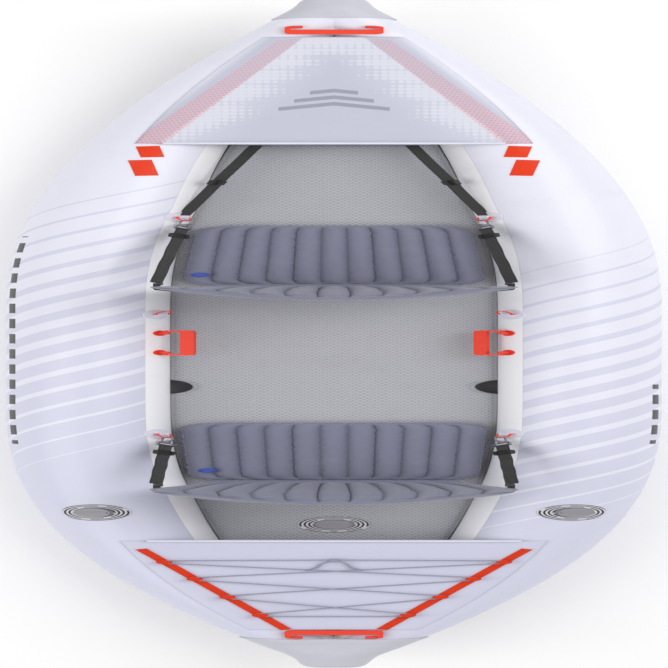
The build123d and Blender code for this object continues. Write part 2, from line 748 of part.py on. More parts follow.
def back_band(i):
    """Webbing round the rear of the backrest, with a tab at each wing."""
    heights = (BAND_LOW, BAND_HIGH)
    web = WEBBING[1]
    outer = loft([back_section(i, h, *back_values(h), extra=BAND_CLEARANCE + web) for h in heights], ruled=True)
    inner = loft([back_section(i, h, *back_values(h), extra=BAND_CLEARANCE) for h in heights], ruled=True)
    half, _, sweep_forward = back_values(BAND_HIGH)
    arc = ThreePointArc((-half + 8, -sweep_forward), (0, 0), (half - 8, -sweep_forward))
    far = [(half - 8, -200), (-half + 8, -200)]
    face = make_face([arc, Polyline(arc @ 1, far[0], far[1], arc @ 0)])
    band = outer - inner - extrude(back_plane(i, BAND_LOW - 20) * face, amount=80)
    out, forward, tall = WING_TAB
    centre = wing_tab_centre(i)
    plane = back_plane(i, 0)
    frame = Plane(centre - plane.y_dir * (forward * 0.2), x_dir=(1, 0, 0), z_dir=plane.z_dir)
    tab = frame * Box(2 * out, forward, tall)
    ends = (BAND_LOW - 4, BAND_HIGH + 4)
    tab -= loft([back_section(i, h, *back_values(h), extra=BAND_CLEARANCE) for h in ends], ruled=True)
    return band + tab + mirrored(tab)


# --- straps, hooks and gates --------------------------------------------------
def strap_frame(i):
    """Port strap: plane at the ring's crown, z along the pull, x in the hook's plane."""
    ring = (0, 2)[i]
    start = ring_top(RING_Y[ring], RING_LEAN[ring])
    pull = (strap_anchor(i) - start).normalized()
    bar = on_tube(RING_Y[ring], RING_ANGLE).x_dir
    normal = (bar - pull * bar.dot(pull)).normalized()
    return Plane(start, x_dir=normal.cross(pull), z_dir=pull)


def hook_nose():
    return -(RING_WIRE + HOOK_WIRE + HOOK_NOSE_GAP)


def snap_hook(i):
    """Hook body: open loop round the ring, barrel and webbing eye."""
    plane = strap_frame(i)
    nose = hook_nose()
    bend = nose + HOOK_HALF
    back = nose + HOOK_LOOP_LENGTH
    arc = Plane((0, 0, bend), x_dir=(1, 0, 0), z_dir=(0, 1, 0)) * Torus(HOOK_HALF, HOOK_WIRE)
    arc &= Pos(0, 0, bend - 20) * Box(60, 60, 40)
    loop = arc + rod((HOOK_HALF, 0, bend), (HOOK_HALF, 0, back), HOOK_WIRE)
    loop += rod((-HOOK_HALF, 0, bend), (-HOOK_HALF, 0, bend + 2), HOOK_WIRE)
    loop += rod((-HOOK_HALF, 0, back - 4), (-HOOK_HALF, 0, back), HOOK_WIRE)
    shoulder = 2 * HOOK_WIRE + 2
    loop += Pos(0, 0, back) * Box(2 * HOOK_HALF + shoulder, shoulder, shoulder)
    loop += rod((0, 0, back), (0, 0, back + HOOK_BARREL), 5)
    width = WEBBING[0] + 3
    eye = Box(2 * HOOK_WIRE, width + 8, HOOK_EYE + 8) - Box(4 * HOOK_WIRE, width, HOOK_EYE)
    return plane * (loop + Pos(0, 0, back + HOOK_BARREL + HOOK_EYE / 2 + 3.5) * eye)


def gate_pivot(i):
    plane = strap_frame(i)
    z = hook_nose() + HOOK_LOOP_LENGTH - 4 - GAP
    return plane.origin + plane.x_dir * -HOOK_HALF + plane.z_dir * z


def hook_gate(i):
    """Spring gate that closes the open side of a hook."""
    plane = strap_frame(i)
    low = hook_nose() + HOOK_HALF + 2 + GAP
    high = hook_nose() + HOOK_LOOP_LENGTH - 4 - GAP - GATE_END_CLEARANCE
    return plane * rod((-HOOK_HALF, 0, low), (-HOOK_HALF, 0, high), HOOK_WIRE - 0.2)


def behind_tab(i):
    """Space behind the front face of a wing tab, where the strap ends."""
    forward = back_plane(i, 0).y_dir * -1
    face = Plane(strap_anchor(i) + forward * GAP, x_dir=(1, 0, 0), z_dir=forward * -1)
    return box_on(face, 200, 200, 0, 100)


def seat_strap(i):
    """Webbing from the hook's eye to the wing tab, looped round the eye's bar."""
    plane = strap_frame(i)
    length = (strap_anchor(i) - plane.origin).length + WEBBING[0]
    width, thick = WEBBING
    bar = hook_nose() + HOOK_LOOP_LENGTH + HOOK_BARREL + HOOK_EYE + 5.5
    web = Box(thick, width, length - bar - 3, align=(Align.CENTER, Align.CENTER, Align.MIN))
    loop = Box(10, width, 10.5) - Box(2 * HOOK_WIRE + 0.8, 2 * width, 4.8)
    return plane * (Pos(0, 0, bar + 3) * web + Pos(0, 0, bar) * loop) - behind_tab(i)


def ladder_buckle(plane, place, width, thick):
    """Slotted buckle round a strap; plane z runs along the strap."""
    across, along, through = width + 11, BUCKLE[1], BUCKLE[2]
    body = Box(through, across, along)
    body = fillet(body.edges().filter_by(Axis.X), 4)
    slot = Box(thick + 1.6, width + 1.6, 2 * along)
    windows = Box(3 * through, width - 4, along * 0.28)
    body = body - slot - Pos(0, 0, along * 0.22) * windows - Pos(0, 0, -along * 0.22) * windows
    return plane * (Pos(0, 0, place) * body)


def seat_buckle(i):
    return ladder_buckle(strap_frame(i), BUCKLE_PLACE, *WEBBING)


# --- footrest -----------------------------------------------------------------
def footrest_plane():
    """Plane at the middle of the footrest; z is the floor's normal there."""
    y = bow(FOOTREST_INSET)
    rise = floor_top(y + 20) - floor_top(y - 20)
    normal = Vector(0, -rise, 40).normalized()
    point = Vector(0, y, floor_top(y)) + normal * (FOOTREST_RADIUS + 2 * GAP)
    return Plane(point, x_dir=(1, 0, 0), z_dir=normal)


def footrest_bar():
    centre = footrest_plane().origin
    half = Vector(FOOTREST_HALF_LENGTH, 0, 0)
    pad = rod(centre - half, centre + half, FOOTREST_RADIUS)
    return fillet(pad.edges().filter_by(GeomType.CIRCLE), 12)


def footrest_strap_frame():
    """Port footrest strap: plane at the ring keeper's forward face, z towards the bar."""
    surface = on_tube(RING_Y[0], RING_ANGLE)
    start = surface.origin + surface.z_dir * ring_bar_height() - surface.y_dir * (6 + 5 * GAP)
    centre = footrest_plane().origin
    end = centre + Vector(FOOTREST_STRAP_X, FOOTREST_RADIUS * 0.8, FOOTREST_RADIUS * 0.6)
    pull = (end - start).normalized()
    across = (surface.x_dir - pull * surface.x_dir.dot(pull)).normalized()
    return Plane(start, x_dir=across.cross(pull), z_dir=pull), (end - start).length


def footrest_strap():
    plane, length = footrest_strap_frame()
    width, thick = FOOTREST_STRAP
    web = Box(thick, width, length - 4.2, align=(Align.CENTER, Align.CENTER, Align.MIN))
    return plane * web


def footrest_buckle():
    plane, _ = footrest_strap_frame()
    return ladder_buckle(plane, FOOTREST_BUCKLE_PLACE, *FOOTREST_STRAP)


# --- valves -------------------------------------------------------------------
def valve_body(plane):
    """Recessed valve: flange, bored barrel and a guide web for the stem."""
    lift = GAP + PATCH_THICKNESS + GAP
    body = disc_on(plane, BARREL_RADIUS, -BARREL_DEPTH, lift + 1)
    body += disc_on(plane, FLANGE_RADIUS, lift, lift + FLANGE_THICKNESS)
    body -= disc_on(plane, VALVE_BORE_RADIUS, -SEAT_DEPTH, 40)
    return body - disc_on(plane, STEM_RADIUS + 0.5, -60, 0)


def valve_plunger(plane):
    """Push button and stem on the valve's spring."""
    top = SEAT_DEPTH - 10
    plunger = disc_on(plane, BUTTON_RADIUS, -top - 3, -top)
    plunger += disc_on(plane, STEM_RADIUS, -SEAT_DEPTH - 5, -top - 1)
    return plunger


def valve_cap(plane):
    """Screw cap: plug in the bore, disc and a raised grip."""
    low = 2 * GAP + PATCH_THICKNESS + FLANGE_THICKNESS + GAP
    cap = disc_on(plane, VALVE_CAP_RADIUS, low, low + VALVE_CAP_THICKNESS)
    cap += disc_on(plane, VALVE_BORE_RADIUS - GAP, low - 8, low + 1)
    grip = box_on(plane, 2 * VALVE_CAP_RADIUS - 8, 8, low, low + VALVE_CAP_THICKNESS + 3)
    return cap + grip


def valve_surround(plane, layer):
    """Welded ring that follows the chamber round a valve."""
    ring = layer & disc_on(plane, SURROUND_RADIUS, -30, 20)
    return ring - disc_on(plane, BARREL_RADIUS + GAP, -60, 60)


def valve_surrounds():
    port = valve_surround(on_tube(VALVE_Y, -VALVE_ANGLE), tube_layer(GAP, PATCH_THICKNESS))
    low, high = FLOOR_VALVE_Y - 1.3 * SURROUND_RADIUS, FLOOR_VALVE_Y + 1.3 * SURROUND_RADIUS
    floor_layer = sheet(lambda y: floor_top(y) + GAP, low, high, PATCH_THICKNESS, 2 * SURROUND_RADIUS)
    return [port, mirrored(port), valve_surround(floor_valve_plane(), floor_layer)]


# --- tracking fin -------------------------------------------------------------
def fin_place():
    """Plane on the underside: local x aft, local z away from the hull."""
    y = stern(FIN_BOX_FRONT_INSET)
    run = FIN_BOX_LENGTH
    rise = keel(y + run) - keel(y)
    aft = Vector(0, run, rise).normalized()
    sag = max(keel(y) + (v - y) * rise / run - keel(v) for v in spread(y, y + run, 9))
    down = aft.cross(Vector(1, 0, 0)).normalized()
    if down.Z > 0:
        down = down * -1
    return Plane(Vector(0, y, keel(y)) + down * (sag + GAP), x_dir=aft, z_dir=down)


def fin_box():
    """Moulded fin holder with a T slot open at the stern end."""
    plane = fin_place()
    length = FIN_BOX_LENGTH
    body = Box(length, FIN_BOX_WIDTH, FIN_BOX_HEIGHT, align=(Align.MIN, Align.CENTER, Align.MIN))
    slot = Box(length, 16 + 2 * FIN_SLOT_CLEARANCE, 4 + 2 * FIN_SLOT_CLEARANCE, align=(Align.MIN, Align.CENTER, Align.MIN))
    throat = Box(length, FIN_THICKNESS + 2 * FIN_SLOT_CLEARANCE, FIN_BOX_HEIGHT, align=(Align.MIN, Align.CENTER, Align.MIN))
    body -= Pos(8, 0, 4 - FIN_SLOT_CLEARANCE) * slot
    body -= Pos(8, 0, 5) * throat
    return plane * body


def tracking_fin():
    """Swept fin with a T foot that slides in the holder from the stern."""
    plane = fin_place()
    foot = Box(FIN_CHORD, 16, 4, align=(Align.MIN, Align.CENTER, Align.MIN))
    top = FIN_BOX_HEIGHT + GAP
    profile = Polyline((0, 6), (FIN_CHORD, 6), (FIN_CHORD, top), (FIN_CHORD * 0.95, FIN_DEPTH),
                       (FIN_CHORD * 0.6, FIN_DEPTH + top), (FIN_CHORD * 0.12, top + 4), (0, top), close=True)
    blade = extrude(Plane.XZ * make_face(profile), amount=FIN_THICKNESS / 2, both=True)
    return plane * (Pos(10, 0, 4) * foot + Pos(10, 0, 0) * blade)


# --- corner patches and labels ------------------------------------------------
def side_labels():
    """Small welded labels on the tubes just aft of the deck."""
    y = bow(BOW_DECK_EDGE_INSET) + 135
    layer = tube_layer(GAP, PATCH_THICKNESS / 2)
    plane = on_tube(y, LABEL_ANGLE)
    label = layer & (plane * (Rot(0, 0, 6) * Box(30, 88, 60)))
    return [label, mirrored(label)]


def corner_patches():
    """Orange patches on the tubes between the deck edge and the labels."""
    y = bow(BOW_DECK_EDGE_INSET) + 45
    layer = tube_layer(GAP, PATCH_THICKNESS / 2)
    plane = on_tube(y, LABEL_ANGLE - 4)
    patch = layer & (plane * (Rot(0, 0, 6) * Box(30, 62, 60)))
    return [patch, mirrored(patch)]


# --- build --------------------------------------------------------------------
def build_hull():
    tube = side_tube()
    write("port_side_tube", tube)
    write("starboard_side_tube", mirrored(tube))
    write("bottom_skin", bottom_skin())
    write("air_floor", air_floor())
    write("bow_nose_cap", nose_cap(BOW_CAP_LENGTH, -1))
    write("stern_nose_cap", nose_cap(STERN_CAP_LENGTH, 1))


def build_decks():
    edges = (bow(BOW_DECK_EDGE_INSET), stern(STERN_DECK_EDGE_INSET))
    write("bow_deck", deck(bow(DECK_TIP_INSET), edges[0]) + hem(edges[0]))
    write("stern_deck", deck(edges[1], stern(DECK_TIP_INSET)) + hem(edges[1]))
    write("deck_battens", batten(edges[0]), batten(edges[1]))
    rail = lacing_rail()
    write("port_lacing_rail", rail)
    write("starboard_lacing_rail", mirrored(rail))
    write("bungee_cord", *bungee_cord())
    write("bungee_knot", bungee_knot())
    write("corner_patches", *corner_patches())
    write("side_labels", *side_labels())


def build_handles():
    write("bow_handle", end_handle(-1))
    write("stern_handle", end_handle(1))
    write("port_handle", side_handle(PORT_HANDLE_REST))
    write("starboard_handle", mirrored(side_handle(STARBOARD_HANDLE_REST)))
    write("handle_anchors", *handle_anchors())


def build_rings():
    patches = []
    for name, y, lean in zip(RING_NAMES, RING_Y, RING_LEAN):
        patch = round_patch(y, RING_ANGLE, RING_PATCH_RADIUS) + ring_keeper(y)
        patches += [patch, mirrored(patch)]
        ring = d_ring(y, lean)
        write(f"port_{name}_ring", ring)
        write(f"starboard_{name}_ring", mirrored(ring))
    write("d_ring_patches", *patches)


def build_seats():
    hooks = []
    for i, name in enumerate(SEAT_NAMES):
        write(f"{name}_cushion", cushion(i))
        write(f"{name}_backrest", backrest(i))
        write(f"{name}_back_band", back_band(i))
        strap = seat_strap(i)
        write(f"{name}_seat_straps", strap, mirrored(strap))
        hook = snap_hook(i)
        hooks += [hook, mirrored(hook)]
        for side, place in (("port", lambda s: s), ("starboard", mirrored)):
            write(f"{side}_{name}_gate", place(hook_gate(i)))
            write(f"{side}_{name}_buckle", place(seat_buckle(i)))
    write("snap_hooks", *hooks)
    write("seat_valves", *[seat_valve(i) for i in range(2)])


def build_footrest():
    write("footrest_bar", footrest_bar())
    strap, buckle = footrest_strap(), footrest_buckle()
    write("footrest_straps", strap, mirrored(strap))
    write("port_footrest_buckle", buckle)
    write("starboard_footrest_buckle", mirrored(buckle))


def build_valves():
    port = on_tube(VALVE_Y, -VALVE_ANGLE)
    write("valve_surrounds", *valve_surrounds())
    bodies = [valve_body(port), mirrored(valve_body(port)), valve_body(floor_valve_plane())]
    write("valve_bodies", *bodies)
    for side, plane, place in (("port", port, lambda s: s), ("starboard", port, mirrored),
                               ("floor", floor_valve_plane(), lambda s: s)):
        write(f"{side}_valve_cap", place(valve_cap(plane)))
        write(f"{side}_valve_plunger", place(valve_plunger(plane)))


def build_fin():
    write("fin_box", fin_box())
    write("tracking_fin", tracking_fin())


build_hull()
build_decks()
build_handles()
build_rings()
build_seats()
build_footrest()
build_valves()
build_fin()
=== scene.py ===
"""Looks of an inflatable two-seat kayak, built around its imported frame.

The boat points its bow towards -Y, port is +X.  Every new piece is a surface
worked out with numpy from three curves along the hull: half beam, tube radius
and keel height.
"""
import math

import bmesh
import bpy
import numpy as np
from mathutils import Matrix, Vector


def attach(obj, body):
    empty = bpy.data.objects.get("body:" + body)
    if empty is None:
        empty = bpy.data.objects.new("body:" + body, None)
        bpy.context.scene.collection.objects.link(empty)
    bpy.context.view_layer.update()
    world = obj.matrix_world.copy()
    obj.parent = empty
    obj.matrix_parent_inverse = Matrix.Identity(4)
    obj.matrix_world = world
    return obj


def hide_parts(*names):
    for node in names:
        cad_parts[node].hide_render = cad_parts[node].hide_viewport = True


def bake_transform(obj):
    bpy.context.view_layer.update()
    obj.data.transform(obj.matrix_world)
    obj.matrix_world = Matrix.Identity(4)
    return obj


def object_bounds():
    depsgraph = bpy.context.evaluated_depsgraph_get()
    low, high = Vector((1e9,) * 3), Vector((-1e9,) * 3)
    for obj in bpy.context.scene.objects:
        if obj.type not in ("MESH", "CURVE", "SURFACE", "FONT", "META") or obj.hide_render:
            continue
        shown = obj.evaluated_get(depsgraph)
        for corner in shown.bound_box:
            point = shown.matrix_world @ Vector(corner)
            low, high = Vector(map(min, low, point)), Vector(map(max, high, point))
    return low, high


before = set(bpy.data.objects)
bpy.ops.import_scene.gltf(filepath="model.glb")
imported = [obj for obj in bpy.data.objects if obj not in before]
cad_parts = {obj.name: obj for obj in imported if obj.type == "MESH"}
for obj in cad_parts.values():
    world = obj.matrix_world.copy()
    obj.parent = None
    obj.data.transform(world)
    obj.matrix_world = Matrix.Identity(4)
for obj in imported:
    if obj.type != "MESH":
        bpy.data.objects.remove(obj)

bl_info = {
    "name": "Inflatable Kayak",
    "version": (1, 0, 0),
    "blender": (4, 5, 0),
    "location": "3D View > Sidebar > Kayak",
    "description": "Builds the skins, seats, deck gear and stage of an inflatable kayak",
    "category": "Object",
}

CAD_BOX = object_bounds()
LENGTH = CAD_BOX[1].y - CAD_BOX[0].y
HALF_LENGTH = LENGTH / 2
SEATS = ("front", "rear")


# --- sizes and colours that a user may change -----------------------------------
def size_property(name, text, value, low=0.0, high=10.0):
    return bpy.props.FloatProperty(name=name, description=text, default=value, min=low, max=high,
                                   unit="LENGTH", precision=4)


def colour_property(name, text, red, green, blue):
    """Colour given as 0..255 display values."""
    linear = [((c / 255 + 0.055) / 1.055) ** 2.4 if c > 10 else c / 255 / 12.92 for c in (red, green, blue)]
    return bpy.props.FloatVectorProperty(name=name, description=text, default=linear, size=3,
                                         subtype="COLOR", min=0, max=1)


class KayakHull(bpy.types.PropertyGroup):
    beam: size_property("Beam", "Overall width across the side tubes", 0.840)
    tube: size_property("Tube radius", "Radius of the side tubes amidships", 0.105)
    tip_tube: size_property("Tip radius", "Radius of the side tubes at the tips", 0.045)
    floor: size_property("Floor", "Thickness of the floor pad", 0.080)
    sag: size_property("Deck sag", "How far the deck fabric dips between the tubes", 0.012)
    white: colour_property("White", "Colour of the side tubes", 229, 230, 242)
    stripe: colour_property("Stripe", "Printed bands on the tubes", 198, 200, 222)
    deck: colour_property("Deck", "Bow deck fabric", 190, 192, 208)
    stern: colour_property("Stern deck", "Stern deck fabric", 204, 205, 224)
    floor_grey: colour_property("Floor grey", "Floor pad", 186, 187, 193)
    cap: colour_property("Nose caps", "Moulded caps at both tips", 202, 202, 212)


class KayakTrim(bpy.types.PropertyGroup):
    orange: colour_property("Orange", "Handles, rails and patches", 232, 56, 8)
    red: colour_property("Red", "Side handles and rings", 238, 58, 30)
    print_grey: colour_property("Print grey", "Emblem and marks on the deck", 146, 148, 166)
    seat: colour_property("Seat grey", "Seat fabric", 122, 124, 145)
    webbing: colour_property("Webbing", "Straps and buckles", 34, 34, 33)
    blue: colour_property("Valve blue", "Seat valves", 60, 84, 170)
    cord: colour_property("Cord", "Deck lacing", 168, 170, 188)
    ribs: bpy.props.IntProperty(name="Ribs", description="Air ribs across each seat piece",
                                default=11, min=3, max=20)
    rib_depth: size_property("Rib depth", "Depth of the grooves between ribs", 0.014)


class KayakStage(bpy.types.PropertyGroup):
    height: size_property("Camera height", "Height of the camera above the ground", 7.7, 2, 20)
    widening: bpy.props.FloatProperty(name="Widening", default=4.40, min=1, max=8,
                                      description="How many times wider the camera's screen draws")
    floor: colour_property("Backdrop", "Studio floor", 255, 255, 255)


def hull():
    return bpy.context.scene.kayak_hull


def trim():
    return bpy.context.scene.kayak_trim


# --- hull curves ------------------------------------------------------------------
# start of the narrowing, its power and how far it closes; then radius and keel curves
BOW = {"narrow": 0.150, "power": 2.2, "close": 0.95, "taper": 0.700, "taper_power": 1.3,
       "rise": 0.700, "height": 0.230}
STERN = {"narrow": 0.350, "power": 2.7, "close": 0.98, "taper": 0.900, "taper_power": 1.6, "rise": 0.800,
         "height": 0.170}
SKIN, HULL_GAP, GAP = 0.0015, 0.0008, 0.0003
RISE_POWER = 2.2
BOW_EDGE = -HALF_LENGTH + 0.790
STERN_EDGE = HALF_LENGTH - 0.700


def ramp(y, start):
    return np.clip((np.abs(y) - start) / (HALF_LENGTH - start), 0, 1)


def by_end(y, key):
    return np.where(np.asarray(y) < 0, BOW[key], STERN[key])


def half_beam(y):
    """Half beam: beam/2 (1 - close ramp^power)."""
    return hull().beam / 2 * (1 - by_end(y, "close") * ramp(y, by_end(y, "narrow")) ** by_end(y, "power"))


def tube_radius(y):
    """Tube radius: falls from the midship value to the tip value."""
    narrowing = ramp(y, by_end(y, "taper")) ** by_end(y, "taper_power")
    return hull().tube - (hull().tube - hull().tip_tube) * narrowing


def keel(y):
    return by_end(y, "height") * ramp(y, by_end(y, "rise")) ** RISE_POWER


def tube_x(y):
    return half_beam(y) - tube_radius(y)


def tube_z(y):
    return keel(y) + SKIN + HULL_GAP + tube_radius(y)


def tube_top(y):
    return tube_z(y) + tube_radius(y)


def deck_top(y):
    return tube_top(y) + GAP + SKIN


def floor_top(y):
    return keel(y) + SKIN + HULL_GAP + hull().floor


def floor_half(y):
    """Half width of the floor pad where it meets the tubes at its top face."""
    r = tube_radius(y)
    rise = r - np.minimum(hull().floor, r)
    return tube_x(y) - np.sqrt(np.maximum(r * r - rise * rise, 0)) - 0.001


# --- mesh helpers -----------------------------------------------------------------
def smooth(t):
    t = np.clip(t, 0, 1)
    return t * t * (3 - 2 * t)


def wobble(x, y, seed, size):
    """Gentle repeatable unevenness: a sum of six sine waves in seeded directions."""
    rng = np.random.default_rng(seed)
    total = 0 * x
    for i in range(6):
        angle, phase = rng.uniform(0, 2 * math.pi, 2)
        step = 2 * math.pi / size * (0.7 + 0.35 * i)
        total = total + np.sin((x * math.cos(angle) + y * math.sin(angle)) * step + phase) / (1 + 0.5 * i)
    return total / 3


def new_piece(name, points, faces, uv=None, material=None, smooth_faces=True):
    """Mesh object from point and face arrays; uv is one pair per point."""
    mesh = bpy.data.meshes.new(name)
    mesh.from_pydata(points.reshape(-1, 3), [], faces)
    if uv is not None:
        layer = mesh.uv_layers.new(name="along")
        loops = np.empty(len(mesh.loops), np.int32)
        mesh.loops.foreach_get("vertex_index", loops)
        layer.data.foreach_set("uv", uv.reshape(-1, 2)[loops].astype(np.float32).ravel())
    mesh.shade_smooth() if smooth_faces else mesh.shade_flat()
    piece = bpy.data.objects.new(name, mesh)
    bpy.context.scene.collection.objects.link(piece)
    if material is not None:
        mesh.materials.append(material)
    return piece


def grid_faces(rows, columns, wrap=False, first=0):
    """Quads between rows and columns; wrap joins the last column to the first."""
    index = first + np.arange(rows * columns).reshape(rows, columns)
    right = np.roll(index, -1, 1) if wrap else index[:, 1:]
    left = index if wrap else index[:, :-1]
    quads = np.stack([left[:-1], right[:-1], right[1:], left[1:]], -1)
    return quads.reshape(-1, 4).tolist()


def tidy_mesh(piece, distance=1e-5):
    """Merge doubled points, close round ends and turn every face outwards."""
    work = bmesh.new()
    work.from_mesh(piece.data)
    bmesh.ops.remove_doubles(work, verts=work.verts, dist=distance)
    bmesh.ops.dissolve_degenerate(work, edges=work.edges, dist=1e-7)
    bmesh.ops.recalc_face_normals(work, faces=work.faces)
    work.to_mesh(piece.data)
    work.free()
    return piece


def shell(name, rings, uv=None, material=None):
    """Closed body from a stack of closed rings (rows, columns, 3); both ends get a fan."""
    rows, columns = rings.shape[:2]
    points = np.concatenate([rings.reshape(-1, 3), rings[0].mean(0)[None], rings[-1].mean(0)[None]])
    faces = grid_faces(rows, columns, wrap=True)
    first, last = rows * columns, rows * columns + 1
    step = np.arange(columns)
    after = np.roll(step, -1)
    faces += np.stack([step * 0 + first, after, step], -1).tolist()
    base = (rows - 1) * columns
    faces += np.stack([step * 0 + last, base + step, base + after], -1).tolist()
    if uv is not None:
        uv = np.concatenate([uv.reshape(-1, 2), uv[0].mean(0)[None], uv[-1].mean(0)[None]])
    return tidy_mesh(new_piece(name, points, faces, uv, material))


def plate(name, top, thickness, uv=None, material=None):
    """Closed sheet: a grid of points and the same grid one thickness lower."""
    rows, columns = top.shape[:2]
    low = top - np.array([0, 0, thickness])
    faces = grid_faces(rows, columns)
    under = [[d, c, b, a] for a, b, c, d in grid_faces(rows, columns, first=rows * columns)]
    index = np.arange(rows * columns).reshape(rows, columns)
    rim = np.concatenate([index[0, :-1], index[:-1, -1], index[-1, :0:-1], index[:0:-1, 0]])
    after = np.roll(rim, -1)
    sides = np.stack([rim, after, after + rows * columns, rim + rows * columns], -1).tolist()
    if uv is not None:
        uv = np.concatenate([uv.reshape(-1, 2)] * 2)
    return tidy_mesh(new_piece(name, np.concatenate([top.reshape(-1, 3), low.reshape(-1, 3)]),
                               faces + under + sides, uv, material))


def sweep_tube(name, line, radius, material, sides=10, flat=1.0, twist=None):
    """Round tube along points, with parallel-carried frames; uv is turn and length.

    Each ring is centre + radius (cos a) u + radius flat (sin a) v, where u and v
    are carried along the path without twist.
    """
    line = np.asarray(line, float)
    tangent = np.gradient(line, axis=0)
    tangent /= np.linalg.norm(tangent, axis=1)[:, None]
    u = np.zeros_like(line)
    seed = np.array([0, 0, 1.0]) if abs(tangent[0][2]) < 0.9 else np.array([1.0, 0, 0])
    u[0] = seed - tangent[0] * (seed @ tangent[0])
    for i in range(1, len(line)):
        u[i] = u[i - 1] - tangent[i] * (u[i - 1] @ tangent[i])
        u[i] /= np.linalg.norm(u[i])
    u[0] /= np.linalg.norm(u[0])
    v = np.cross(tangent, u)
    a = np.linspace(0, 2 * math.pi, sides, endpoint=False)
    size = radius * np.ones(len(line)) if np.isscalar(radius) else np.asarray(radius)
    rings = line[:, None] + size[:, None, None] * (np.cos(a)[None, :, None] * u[:, None]
                                                   + flat * np.sin(a)[None, :, None] * v[:, None])
    run = np.concatenate([[0], np.cumsum(np.linalg.norm(np.diff(line, axis=0), axis=1))])
    uv = np.stack(np.meshgrid(a / (2 * math.pi), run), -1)
    return shell(name, rings, uv, material)


def cut_round(piece, centre, axis, radius, low, high):
    """Cut a round pocket into a piece, from low to high along the axis."""
    rings = []
    a = np.linspace(0, 2 * math.pi, 48, endpoint=False)
    axis = Vector(axis).normalized()
    u = axis.orthogonal().normalized()
    v = axis.cross(u)
    for height in (low, high):
        middle = np.array(Vector(centre) + axis * height)
        rings.append(middle + radius * (np.cos(a)[:, None] * np.array(u) + np.sin(a)[:, None] * np.array(v)))
    tool = shell("pocket_tool", np.array(rings))
    modifier = piece.modifiers.new("pocket", "BOOLEAN")
    modifier.object, modifier.operation, modifier.solver = tool, "DIFFERENCE", "EXACT"
    apply_modifiers(piece)
    bpy.data.objects.remove(tool)


def apply_modifiers(piece):
    """Bake a piece's modifiers into its mesh."""
    graph = bpy.context.evaluated_depsgraph_get()
    mesh = bpy.data.meshes.new_from_object(piece.evaluated_get(graph))
    piece.modifiers.clear()
    piece.data = mesh


def mirrored_copy(piece, name):
    """Mirror image across the centre plane, with its faces turned the right way."""
    mesh = piece.data.copy()
    points = np.empty(len(mesh.vertices) * 3)
    mesh.vertices.foreach_get("co", points)
    points = points.reshape(-1, 3) * (-1, 1, 1)
    mesh.vertices.foreach_set("co", points.ravel())
    mesh.flip_normals()
    copy = bpy.data.objects.new(name, mesh)
    bpy.context.scene.collection.objects.link(copy)
    return copy


def settle(piece, slot, *nodes, body="hull"):
    """Put a finished piece on its body and in place of its CAD nodes; slot is not used."""
    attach(piece, body)
    if nodes:
        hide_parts(*nodes)
    return piece


